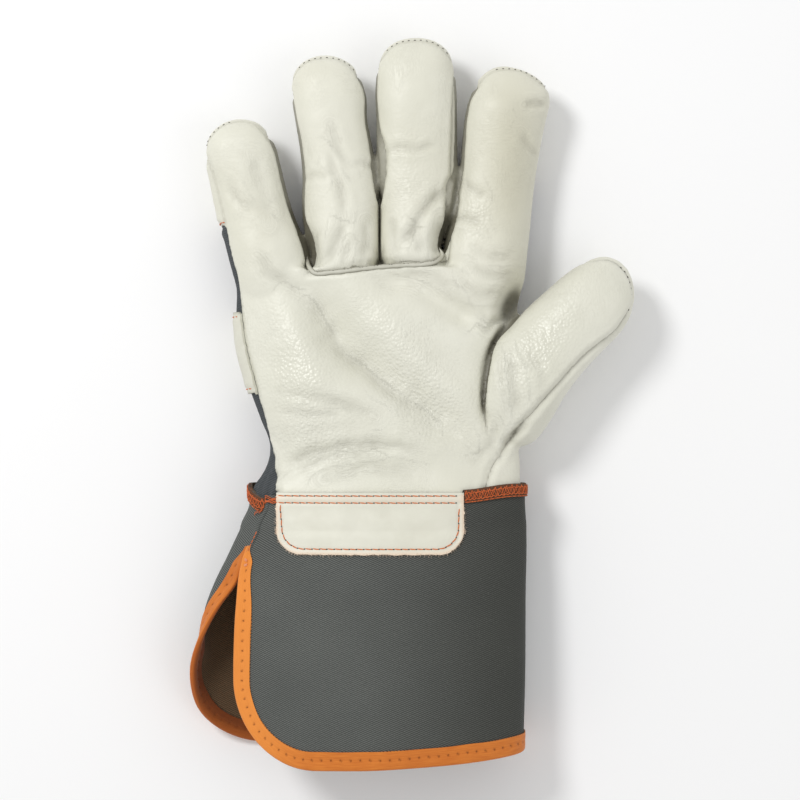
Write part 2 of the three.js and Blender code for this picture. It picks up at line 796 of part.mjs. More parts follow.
function veinPatch() {
  const inner = CUFF_WALL / 2 + PATCH_EASE;
  const bottom = (x) => {
    const fromEdge = Math.min(x - PATCH.left, PATCH.right - x);
    const inside = Math.max(PATCH.corner - Math.max(fromEdge, 0), 0);
    return PATCH.bottomY + PATCH.corner - Math.sqrt(PATCH.corner ** 2 - inside ** 2);
  };
  // Columns from edge to edge, closer together at the two rounded corners
  const columns = Array.from({ length: PATCH.columns + 1 }, (_, i) => {
    const t = i / PATCH.columns;
    return lerp(PATCH.left, PATCH.right, t - PATCH.crowding * Math.sin(2 * Math.PI * t));
  });
  return sheet(columns, PATCH.levels, PATCH.topY, bottom, inner, inner + PATCH.wall, upperShare);
}

function wristBand() {
  const inner = CUFF_WALL / 2 + PATCH_EASE;
  const from = upperShare(PATCH.right + 0.5, CUFF_JOIN_Y);
  const shares = [from, ...cuffShares().filter((share) => share > from + 0.01)];
  return sheet(shares, [0, 1], BAND.topY, () => BAND.bottomY, inner, inner + BAND.wall);
}

// Assembly

const glove = new THREE.Group();

function addPiece(name, shape, look) {
  const { color, roughness } = COLOURS[look];
  const material = new THREE.MeshStandardMaterial({ color, roughness, metalness: 0 });
  const mesh = new THREE.Mesh(geometryOf(shape), material);
  mesh.name = name;
  glove.add(mesh);
}

for (const [name, shape] of handPanels()) addPiece(name, shape, name === "hand_back" ? "canvas" : "leather");
addPiece("knuckle_strap", knuckleStrap(), "leather");
addPiece("cuff", cuff(0), "twill");
addPiece("cuff_binding", cuffBinding().subtract(cuff(SEAM_GAP)), "tape");
addPiece("vein_patch", veinPatch(), "leather");
addPiece("wrist_seam", wristBand(), "twill");

// The origin is under the middle of the glove, on the surface that it lies on
const bounds = new THREE.Box3().setFromObject(glove);
const middle = bounds.getCenter(new THREE.Vector3());
glove.position.set(-middle.x, -middle.y, -bounds.min.z);

export default glove;
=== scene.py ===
import math
import bpy
import numpy as np
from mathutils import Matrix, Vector, noise
from mathutils.bvhtree import BVHTree
from mathutils.kdtree import KDTree


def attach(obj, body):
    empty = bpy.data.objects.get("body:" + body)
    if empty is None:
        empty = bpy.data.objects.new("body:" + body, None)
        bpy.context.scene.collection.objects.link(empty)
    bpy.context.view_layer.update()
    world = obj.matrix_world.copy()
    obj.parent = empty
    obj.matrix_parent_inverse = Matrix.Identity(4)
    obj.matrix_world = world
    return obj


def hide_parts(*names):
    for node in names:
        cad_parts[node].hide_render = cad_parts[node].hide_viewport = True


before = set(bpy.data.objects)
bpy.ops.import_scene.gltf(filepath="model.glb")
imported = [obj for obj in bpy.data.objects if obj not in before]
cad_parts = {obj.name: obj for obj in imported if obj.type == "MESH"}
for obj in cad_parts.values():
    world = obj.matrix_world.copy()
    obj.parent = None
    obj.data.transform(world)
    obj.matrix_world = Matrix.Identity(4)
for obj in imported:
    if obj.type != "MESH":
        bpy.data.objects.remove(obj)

# A right-hand work glove that lies palm up on a pale floor. The tables are in millimetres from the middle of
# the palm, +Y towards the fingertips and +X towards the thumb, and SHIFT takes them to the frame's origin.
MM = 0.001
SHIFT = np.array([-0.742, -2.083, 0.0])
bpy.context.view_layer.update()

# Thicknesses and sizes of the mesh
LEATHER = 1.3
CLOTH = 1.2
VOXEL = 0.95
SECTION_STEP = 1.2
SIDES = 64

# The hand's form

# Fingers and thumb: how far along it, its left and right edge there, and its lowest and highest point. The
# last rows round off its tip. The thumb's rows are in its own frame, which starts at THUMB_ORIGIN and is
# turned from +Y towards +X.
DIGITS = {
    "little": [
        (38, -74.0, -44.0, 6, 27),
        (54, -79.6, -45.0, 3, 33),
        (63, -82.4, -46.6, 2, 33.5),
        (73, -85.0, -48.9, 2, 33),
        (86, -88.4, -54.1, 2.5, 32),
        (98, -90.8, -57.6, 3.5, 32),
        (108, -92.6, -60.0, 5.0, 32),
        (117, -92.6, -62.6, 7.5, 31.4),
        (122.5, -89.3, -66.6, 11.0, 29.4),
        (126.0, -84.6, -70.4, 15.0, 26.0),
        (127.6, -79.5, -76.0, 19.5, 21.5),
    ],
    "ring": [
        (40, -46.0, -18.0, 6, 27),
        (60, -44.6, -15.5, 3, 33.5),
        (66, -45.4, -15.3, 2.5, 33.8),
        (72, -47.4, -15.3, 2, 34),
        (80, -49.0, -15.3, 2, 33.6),
        (90, -49.8, -15.4, 2, 33),
        (102, -49.6, -16.4, 2.5, 32),
        (117, -51.0, -18.7, 4, 32),
        (128, -52.9, -20.9, 5.5, 32.5),
        (139, -54.4, -21.3, 7.5, 32.5),
        (147, -53.8, -24.2, 9.5, 31.0),
        (152, -50.6, -28.0, 13.0, 28.4),
        (155.0, -46.0, -33.0, 17.0, 24.5),
        (156.4, -41.5, -37.5, 19.8, 21.6),
    ],
    "middle": [
        (40, -12.0, 14.0, 6, 27),
        (60, -13.4, 15.0, 3, 33.5),
        (65, -13.9, 14.4, 2, 33.8),
        (70, -14.2, 12.4, 2, 34),
        (76, -14.6, 14.0, 2, 33.8),
        (82, -14.7, 16.4, 2, 33.5),
        (92, -14.8, 18.6, 2.5, 32.5),
        (102, -15.5, 19.6, 3.0, 32.2),
        (112, -16.1, 19.8, 3.5, 32),
        (128, -16.3, 19.6, 5.5, 33),
        (142, -16.7, 19.4, 7.5, 33),
        (152, -15.6, 18.2, 9.5, 31.8),
        (158, -12.6, 15.4, 12.5, 29.0),
        (162.4, -7.4, 10.0, 16.5, 25.0),
        (164.3, -0.5, 3.2, 19.8, 21.8),
    ],
    "index": [
        (38, 16.0, 44.0, 6, 27),
        (56, 13.6, 50.0, 3, 33),
        (66, 13.8, 51.2, 2, 34),
        (78, 15.9, 52.6, 2, 33),
        (90, 18.6, 53.8, 2.5, 32),
        (104, 21.3, 55.4, 3.5, 32),
        (117, 22.4, 57.6, 5.0, 32),
        (128, 23.4, 59.8, 7.0, 32),
        (136.5, 25.2, 61.6, 9.0, 31.5),
        (141, 27.2, 60.6, 11.0, 30.0),
        (146, 30.4, 55.8, 13.5, 28.0),
        (150.2, 35.6, 47.0, 17.5, 24.5),
        (151.4, 39.0, 42.0, 19.8, 21.8),
    ],
    "thumb": [
        (4, -12.0, 10.0, 8, 33),
        (16, -21.5, 16.6, 6, 38.5),
        (28, -26.4, 15.0, 6, 40.5),
        (40, -27.8, 11.8, 7, 40.5),
        (52, -27.9, 10.1, 8, 40),
        (66, -27.2, 9.5, 9.5, 39.5),
        (78, -26.4, 9.2, 11, 38.5),
        (86, -24.8, 6.8, 12.5, 37),
        (92, -22.6, 3.4, 15, 34.5),
        (96.6, -19.6, -1.6, 18.5, 31),
        (99.6, -14.0, -8.0, 22.5, 26.8),
    ],
}
THUMB_ORIGIN = (31.5, -16.2)
THUMB_TURN = 45
SQUARENESS = 2.45

# The palm from inside the cuff to the roots of the fingers: y, left and right edge, lowest and highest point
PALM = [
    (-46, -72.6, 48.9, 5.0, 41.0),
    (-38, -71.6, 48.5, 5.0, 40.5),
    (-32, -67.4, 48.0, 5.0, 39.0),
    (-26, -64.8, 48.0, 4.2, 38.0),
    (-18, -64.0, 47.0, 3.0, 38.5),
    (-7, -68.2, 45.5, 2.2, 39.0),
    (4, -72.4, 44.5, 1.8, 39.0),
    (20, -77.4, 44.5, 1.8, 36.5),
    (30, -79.2, 45.5, 1.8, 35.5),
    (41, -79.6, 47.0, 1.8, 35.0),
    (50, -79.2, 48.6, 1.8, 35.0),
    (61, -80.6, 50.4, 1.8, 34.0),
]
PALM_SQUARENESS = 2.7


def unit(vectors):
    """Vectors of the same directions and length 1."""
    return vectors / np.maximum(np.linalg.norm(vectors, axis=-1, keepdims=True), 1e-9)


def run_of(path):
    """How far along a path each of its points is."""
    return np.concatenate([[0.0], np.cumsum(np.linalg.norm(np.diff(path, axis=0), axis=1))])


def columns_at(at, run, rows):
    """The columns of rows at any places along their run."""
    return np.stack([np.interp(at, run, rows[:, k]) for k in range(rows.shape[1])], axis=1)


def table_path(rows, step, measure):
    """Rows at about equal steps on a smooth curve through the given rows, measured in some columns."""
    rows = np.asarray(rows, float)
    key = run_of(rows[:, measure])
    at = np.linspace(0, key[-1], max(2, round(key[-1] / step) + 1))
    return table_at(np.column_stack([key, rows]), at)


def table_at(rows, at):
    """A table's other columns at any value of its first, on smooth curves through its rows."""
    rows = np.asarray(rows, float)
    at = np.atleast_1d(np.asarray(at, float))
    key, values = rows[:, 0], rows[:, 1:]
    slope = np.gradient(values, key, axis=0)
    i = np.clip(np.searchsorted(key, at, side="right") - 1, 0, len(key) - 2)
    span = (key[i + 1] - key[i])[:, None]
    t = np.clip((at - key[i])[:, None] / span, 0, 1)
    rise = t * t * (3 - 2 * t) * (values[i + 1] - values[i])
    return values[i] + rise + t * (1 - t) * span * ((1 - t) * slope[i] - t * slope[i + 1])


def smoothstep(value, low, high):
    """A soft step from 0 at low to 1 at high."""
    t = np.clip((value - low) / (high - low), 0, 1)
    return t * t * (3 - 2 * t)


def power(value, exponent):
    """The power of a value's size, with the value's sign."""
    return np.sign(value) * np.abs(value) ** exponent


def rings(rows, squareness, origin=(0, 0), turn=0):
    """A closed tube through sections (along, left, right, low, high), flat where it rests."""
    along, left, right, low, high = np.asarray(rows).T[:, :, None]
    angle = np.linspace(0, 2 * math.pi, SIDES, endpoint=False)[None, :]
    out = power(np.cos(angle), 2 / squareness)
    up = power(np.sin(angle), 2 / squareness)
    middle = (low + high) / 2
    x = (left + right) / 2 + out * (right - left) / 2
    y = along + 0 * angle
    flattened = 1.2
    z = np.where(up > 0, middle + up * (high - middle), middle + up * (middle - low + flattened))
    z = np.maximum(z, low)
    c, s = math.cos(math.radians(turn)), math.sin(math.radians(turn))
    return np.stack([origin[0] + x * c + y * s, origin[1] - x * s + y * c, z], axis=-1)


def tube(points):
    """Triangles of a closed tube through rings, an array of rings by sides by 3."""
    count, sides, _ = points.shape
    index = np.arange(count * sides).reshape(count, sides)
    a, b = index[:-1], np.roll(index, -1, axis=1)[:-1]
    c, d = index[1:], np.roll(index, -1, axis=1)[1:]
    faces = [np.stack([a, c, b], -1).reshape(-1, 3), np.stack([b, c, d], -1).reshape(-1, 3)]
    ends = np.array([points[0].mean(axis=0), points[-1].mean(axis=0)])
    first, last = count * sides, count * sides + 1
    near, far = index[0], index[-1]
    faces.append(np.stack([near, np.roll(near, -1), np.full(sides, first)], -1))
    faces.append(np.stack([np.roll(far, -1), far, np.full(sides, last)], -1))
    return np.vstack([points.reshape(-1, 3), ends]), np.vstack(faces)


def joined(parts):
    """Several (points, faces) pairs as one."""
    points, faces, start = [], [], 0
    for part_points, part_faces in parts:
        points.append(part_points)
        faces.append(np.asarray(part_faces) + start)
        start += len(part_points)
    return np.vstack(points), np.vstack(faces)


def mesh_from(name, points, faces):
    """A mesh from arrays of points and faces."""
    mesh = bpy.data.meshes.new(name)
    mesh.from_pydata(points.tolist(), [], faces.tolist())
    return mesh


def add_object(name, data):
    """A new object in the scene, with this mesh, lamp or camera."""
    obj = bpy.data.objects.new(name, data)
    bpy.context.scene.collection.objects.link(obj)
    return obj


def union(parts, voxel):
    """The outer surface of overlapping closed forms, as even triangles."""
    obj = add_object("form", mesh_from("form", *joined(parts)))
    remesh = obj.modifiers.new("remesh", "REMESH")
    remesh.mode = "VOXEL"
    remesh.voxel_size = voxel
    made = obj.evaluated_get(bpy.context.evaluated_depsgraph_get()).to_mesh()
    points = np.empty(len(made.vertices) * 3, np.float32)
    made.vertices.foreach_get("co", points)
    made.calc_loop_triangles()
    faces = np.empty(len(made.loop_triangles) * 3, np.int32)
    made.loop_triangles.foreach_get("vertices", faces)
    bpy.data.objects.remove(obj)
    return points.reshape(-1, 3).astype(float), faces.reshape(-1, 3)


def edges_of(faces):
    """Every edge of the triangles once, as a pair of points."""
    pairs = np.vstack([faces[:, [0, 1]], faces[:, [1, 2]], faces[:, [2, 0]]])
    return np.unique(np.sort(pairs, axis=1), axis=0)


def gather(values, targets, count):
    """Sums rows of values into count rows, by target."""
    return np.stack([np.bincount(targets, values[:, k], count) for k in range(values.shape[1])], axis=1)


def relaxed(points, edges, times, share=0.5):
    """Points moved towards the middle of their neighbours; share may differ from point to point."""
    both = np.concatenate([edges[:, 0], edges[:, 1]])
    other = np.concatenate([edges[:, 1], edges[:, 0]])
    degree = np.maximum(np.bincount(both, minlength=len(points)), 1)[:, None]
    for _ in range(times):
        mean = gather(points[other], both, len(points)) / degree
        points = points + (mean - points) * share
    return points


def normals_of(points, faces):
    """Each point's normal, from the triangles round it."""
    a, b, c = points[faces[:, 0]], points[faces[:, 1]], points[faces[:, 2]]
    cross = np.cross(b - a, c - a)
    return unit(gather(np.vstack([cross] * 3), faces.T.reshape(-1), len(points)))


def hand_form():
    """The hand as one smooth form: the digits and the palm, joined and rounded where they meet."""
    parts = []
    for name, rows in DIGITS.items():
        place = (THUMB_ORIGIN, THUMB_TURN) if name == "thumb" else ((0, 0), 0)
        parts.append(tube(rings(table_path(rows, SECTION_STEP, [0, 1, 2]), SQUARENESS, *place)))
    parts.append(tube(rings(table_path(PALM, SECTION_STEP, [0, 1, 2]), PALM_SQUARENESS)))
    points, faces = union(parts, VOXEL)
    edges = edges_of(faces)
    return relaxed(points, edges, 4, 0.6), faces, edges


# Seams of the hand, seen from above
ULNAR_SEAM = [
    (-60.8, -60.0), (-60.8, -38.7), (-61.7, -27.5), (-64.4, -14.9), (-70.0, 6.3), (-75.2, 26.6),
    (-77.0, 38.7), (-78.3, 51.3), (-82.0, 69.8), (-85.2, 86.0), (-87.6, 95.9), (-89.9, 103.7),
    (-96.0, 116.0),
]
THUMB_SEAM = [
    (104.0, 52.0), (99.0, 45.0), (95.2, 38.7), (89.6, 31.5), (82.0, 25.8), (72.6, 18.0), (64.0, 8.7),
    (54.0, -2.7), (46.2, -12.0), (40.0, -21.0), (35.1, -28.4), (32.4, -37.0), (32.0, -60.0),
]
CREASE_SEAM = [
    (50.0, 42.0), (42.8, 34.2), (37.8, 29.3), (35.1, 22.1), (33.3, 14.0), (32.0, 6.8), (31.5, -0.5),
    (32.4, -9.0), (34.4, -17.0), (38.6, -23.4),
]
CROSS_SEAM = [
    (-47.0, 58.8), (-32.0, 59.8), (-16.0, 62.0), (-3.0, 63.0), (15.0, 64.0),
]
# The side seams' height: along the hand, where the finger gaps are lined, and round the fingertips
SIDE_SEAM_Z = 15.0
FORK_LOW_Z = 11.0
FORK_HIGH_Z = 22.0
TIP_SEAM_Z = 24.2
THUMB_SEAM_Z = 20.0
THUMB_TIP_SEAM_Z = 28.2
CROTCH_Y = 56.0
# Where the front panels stop higher up, so that the lining of a gap shows from above
GAP_LIFTS = [
    dict(x=-13.9, y=110.0, across=2.8, along=13.0, rise=5.8),
    dict(x=16.6, y=92.0, across=2.4, along=13.0, rise=7.5),
    dict(x=14.2, y=76.5, across=1.9, along=6.0, turn=14, rise=6.0),
    dict(x=-46.6, y=72.0, across=2.6, along=7.0, turn=-14, rise=9.0),
]
# The middles of the gaps beside the little and the index finger, and how low the front panels part there
LITTLE_GAP_X = -48.5
INDEX_GAP_X = 17.0
GAP_Y = 78.0
# The thumb's back, seen from above, drawn well past its outer side
THUMB_BACK = [(31, -60), (66, -60), (115, 5), (115, 85), (76, 90), (47.5, 38.5), (34, 26), (31, 0)]
# Outlines run out to here where a panel ends at the hand's edge
FAR = 190.0
HAND_END_Y = -43.0
STRAP_FROM_Y = 5.0
STRAP_TO_Y = 41.0
STRAP_MIDDLE = (-15.0, 14.0)


def path_of(points, step=1.5):
    """A smooth open path through points, as close points."""
    return table_path(points, step, [0, 1])


def bells(points, rows):
    """The sum of round or turned swellings (x, y, across, along, turn, rise) at points."""
    total = np.zeros(len(points))
    for row in rows:
        turn = math.radians(row.get("turn", 0))
        dx, dy = points[:, 0] - row["x"], points[:, 1] - row["y"]
        u = (dx * math.cos(turn) - dy * math.sin(turn)) / row["across"]
        v = (dx * math.sin(turn) + dy * math.cos(turn)) / row["along"]
        total += row["rise"] * np.exp(-u * u - v * v)
    return total


def within(points, outline):
    """Signed distance in XY to a closed outline, positive inside it."""
    outline = np.asarray(outline, float)
    p = points[:, :2]
    nearest = np.full(len(p), 1e9)
    odd = np.zeros(len(p), bool)
    for a, b in zip(outline, np.roll(outline, -1, axis=0)):
        way = b - a
        t = np.clip(((p - a) @ way) / max(way @ way, 1e-9), 0, 1)
        nearest = np.minimum(nearest, np.linalg.norm(p - a - t[:, None] * way, axis=1))
        if a[1] != b[1]:
            level = (a[1] > p[:, 1]) != (b[1] > p[:, 1])
            odd ^= level & (p[:, 0] < (b[0] - a[0]) * (p[:, 1] - a[1]) / (b[1] - a[1]) + a[0])
    return np.where(odd, nearest, -nearest)


def digit_edge(name, side, y_values, inset):
    """Points on a digit's left (-1) or right (1) edge, moved in by inset."""
    rows = np.asarray(DIGITS[name], float)
    column = 1 if side < 0 else 2
    found = np.interp(y_values, rows[:, 0], rows[:, column])
    return np.column_stack([found - side * inset, y_values])


def fork_outline(left, right):
    """The strip between two fingers whose leather lines the gap, seen from above."""
    inset = 4.0
    tops = [DIGITS[name][-4][0] for name in (left, right)]
    left_side = digit_edge(left, 1, np.linspace(61, tops[0], 12), inset)
    right_side = digit_edge(right, -1, np.linspace(61, tops[1], 12), inset)
    foot = [(right_side[0][0], CROTCH_Y), (left_side[0][0], CROTCH_Y)]
    return np.vstack([left_side, right_side[::-1], foot])


FORKS = {
    "fork_ring_little": fork_outline("little", "ring"),
    "fork_middle_ring": fork_outline("ring", "middle"),
    "fork_index_middle": fork_outline("middle", "index"),
}


def tip_raise(points):
    """How near each point is to a fingertip's seam, 0 to 1."""
    near = np.zeros(len(points))
    for name, rows in DIGITS.items():
        end = rows[-1][0]
        if name == "thumb":
            turn = math.radians(THUMB_TURN)
            dx, dy = points[:, 0] - THUMB_ORIGIN[0], points[:, 1] - THUMB_ORIGIN[1]
            along, out = dx * math.sin(turn) + dy * math.cos(turn), dx * math.cos(turn) - dy * math.sin(turn)
            middle, half, reach = -9, 30, 20
        else:
            along, out = points[:, 1], points[:, 0]
            middle, half, reach = (rows[-1][1] + rows[-1][2]) / 2, 19, 17
        own = np.abs(out - middle) < half
        near = np.maximum(near, smoothstep(along, end - reach, end - 6) * own)
    return near


def front_height(points):
    """The height of the seam between the front and the sides or back."""
    in_gap = np.zeros(len(points))
    for outline in FORKS.values():
        in_gap = np.maximum(in_gap, smoothstep(within(points, outline), -1.5, 0.5))
    height = SIDE_SEAM_Z + (FORK_HIGH_Z - SIDE_SEAM_Z) * in_gap + bells(points, GAP_LIFTS)
    near = tip_raise(points)
    return height + (TIP_SEAM_Z - height) * near


# How long the leather tip piece on the back of each finger is
TIP_PIECES = {"little": 47.0, "ring": 50.0, "middle": 50.0, "index": 50.0}


def tip_outline(name):
    """The leather tip piece on the back of a finger, seen from above."""
    rows = DIGITS[name]
    end = rows[-1][0]
    y = np.linspace(end - TIP_PIECES[name], end + 3, 12)
    left, right = digit_edge(name, -1, y, 3.0), digit_edge(name, 1, y, 3.0)
    left[:, 0] -= 6.0
    right[:, 0] += 6.0
    lean = (rows[6][1] - rows[3][1]) / 35
    left[0, 1] += 4.0 * lean
    return np.vstack([left, right[::-1]])


def thumb_outline():
    """The leather of the thumb's front, seen from above."""
    seam = path_of(THUMB_SEAM)[::-1]
    return [*path_of(CREASE_SEAM), *seam[seam[:, 1] > -23.4], (112, 75), (76, 90)]


def zones(points):
    """Fields over the hand, each positive inside its panel, in the order in which they take their faces."""
    z = points[:, 2]
    high = front_height(points)
    ulnar, crease, cross = path_of(ULNAR_SEAM), path_of(CREASE_SEAM), path_of(CROSS_SEAM)
    thumb = path_of(THUMB_SEAM)
    between_gaps = [*cross, (INDEX_GAP_X, GAP_Y), (INDEX_GAP_X + 3, FAR)]
    yield "opening", HAND_END_Y - points[:, 1]
    for name, outline in FORKS.items():
        yield name, np.minimum(within(points, outline), np.minimum(z - FORK_LOW_Z, high - z))
    little_side = [*ulnar, (-99, 135), (-62, FAR), (LITTLE_GAP_X, GAP_Y)]
    thumb_side = [(80, FAR), (64, 66), *crease, *thumb[thumb[:, 1] < -22]]
    palm = [*little_side, *between_gaps, *thumb_side]
    yield "palm_front", np.minimum(within(points, palm), z - high)
    fingers = [*between_gaps, (-62, FAR), (LITTLE_GAP_X, GAP_Y)]
    yield "middle_ring_front", np.minimum(within(points, fingers), z - high)
    seam_z = THUMB_SEAM_Z + (THUMB_TIP_SEAM_Z - THUMB_SEAM_Z) * tip_raise(points)
    yield "thumb_front", np.minimum(within(points, thumb_outline()), z - seam_z)
    yield "thumb_back", within(points, THUMB_BACK)
    for name in TIP_PIECES:
        yield "tip_" + name, within(points, tip_outline(name))
    yield "under_strap", np.minimum(points[:, 1] - STRAP_FROM_Y, STRAP_TO_Y - points[:, 1])


def snapped(points, edges, field, held):
    """Moves the nearer end of each edge that crosses a seam onto it, so that the seam runs along edges."""
    a, b = edges.T
    cross = field[a] * field[b] < 0
    a, b = a[cross], b[cross]
    t = field[a] / (field[a] - field[b])
    place = points[a] + t[:, None] * (points[b] - points[a])
    first = (t < 0.5) & ~held[a] | held[b]
    end = np.where(first, a, b)
    cost = np.where(first, t, 1 - t)
    free = ~held[end]
    order = np.argsort(-cost[free])
    points[end[free][order]] = place[free][order]
    field[end] = 0.0
    held[end] = True


# Fewer faces than this on their own are no panel
ISLAND_FACES = 150


def shared_edges(faces):
    """Edges that two faces share, as (pairs of points, first faces, second faces)."""
    pairs = np.sort(np.vstack([faces[:, [0, 1]], faces[:, [1, 2]], faces[:, [2, 0]]]), axis=1)
    owner = np.tile(np.arange(len(faces)), 3)
    order = np.lexsort((pairs[:, 1], pairs[:, 0]))
    pairs, owner = pairs[order], owner[order]
    first = np.flatnonzero(np.all(pairs[1:] == pairs[:-1], axis=1))
    return pairs[first], owner[first], owner[first + 1]


def without_islands(faces, label):
    """Labels in which a few faces cut off from their panel belong to the panel around them."""
    _, left, right = shared_edges(faces)
    same = label[left] == label[right]
    island = np.arange(len(faces))
    while True:
        low = np.minimum(island[left[same]], island[right[same]])
        after = island.copy()
        np.minimum.at(after, left[same], low)
        np.minimum.at(after, right[same], low)
        np.minimum.at(after, island[left[same]], low)
        np.minimum.at(after, island[right[same]], low)
        after = after[after]
        if np.array_equal(after, island):
            break
        island = after
    small = np.bincount(island, minlength=len(faces))[island] < ISLAND_FACES
    settled = label.copy()
    for face in np.unique(island[small]):
        own = island == face
        around = np.concatenate([label[right[own[left] & ~own[right]]], label[left[own[right] & ~own[left]]]])
        if len(around):
            settled[own] = np.bincount(around).argmax()
    return settled


def cut_into_panels(points, faces, edges):
    """A label for each face, with seams that run along edges."""
    held = np.zeros(len(points), bool)
    label = np.full(len(faces), -1)
    names = []
    original = points.copy()
    for name, field in zones(original):
        taken = np.zeros(len(points), bool)
        taken[faces[label < 0].reshape(-1)] = True
        field = np.where(taken, field, -np.abs(field))
        snapped(points, edges, field, held)
        mean = field[faces].mean(axis=1)
        label[(label < 0) & (mean > 0)] = len(names)
        names.append(name)
    label[label < 0] = len(names)
    names.append("hand_back")
    return without_islands(faces, label), names


# Shapes of the leather: swellings and hollows of the front, and its folds

SWELLINGS = [
    dict(x=-50.0, y=24.3, across=12, along=28, turn=-20, rise=3.2),
    dict(x=-50.8, y=-11.7, across=12, along=16, rise=2.0),
    dict(x=-6.0, y=29.0, across=11, along=32, turn=-35, rise=3.2),
    dict(x=14.0, y=-16.0, across=16, along=14, rise=1.2),
    dict(x=57.0, y=11.0, across=12, along=18, turn=40, rise=2.0),
    dict(x=39.0, y=10.0, across=5, along=18, turn=-6, rise=1.6),
    dict(x=33.0, y=56.0, across=9, along=12, rise=1.4),
    dict(x=-20.0, y=48.0, across=14, along=8, rise=-1.0),
    dict(x=-66.0, y=78.0, across=9, along=16, rise=0.8),
]

# Where the front is pressed down towards SINK_Z, as a share of its height above that: beside the roots of the
# fingers, between index finger and thumb, and along the index finger's outer side
SINK_Z = 14.0
SINKS = [
    dict(x=44.4, y=43.6, across=5.2, along=9.5, turn=18, rise=0.82),
    dict(x=-46.4, y=71.0, across=2.4, along=7.0, turn=-14, rise=0.6),
    dict(x=14.4, y=77.5, across=1.7, along=6.5, turn=14, rise=0.6),
    dict(x=57.0, y=96.0, across=10.0, along=50.0, turn=4, rise=0.28),
]

# Where the thumb's edge lies over the hollow beside it, painted darker as shade
THUMB_FORK = [dict(x=45.5, y=37.5, across=2.6, along=7.5, turn=45, rise=1.0)]

# The valley across the palm, from below the little finger to the heel of the thumb, and the fold in it
MAIN_FOLD = [
    (-57.6, 54), (-44.6, 46.8), (-37.8, 36.5), (-30.6, 26.1),
    (-17.1, 15.8), (-5, 7.2), (10.8, -6.3), (29.7, -22),
]
MAIN_FOLD_LIP = [
    (-47.9, 48.6), (-41.9, 41.0), (-35.6, 28.5), (-19.5, 14.6),
    (-7.6, 3.6), (4.4, -3.6), (11.7, -9.8),
]

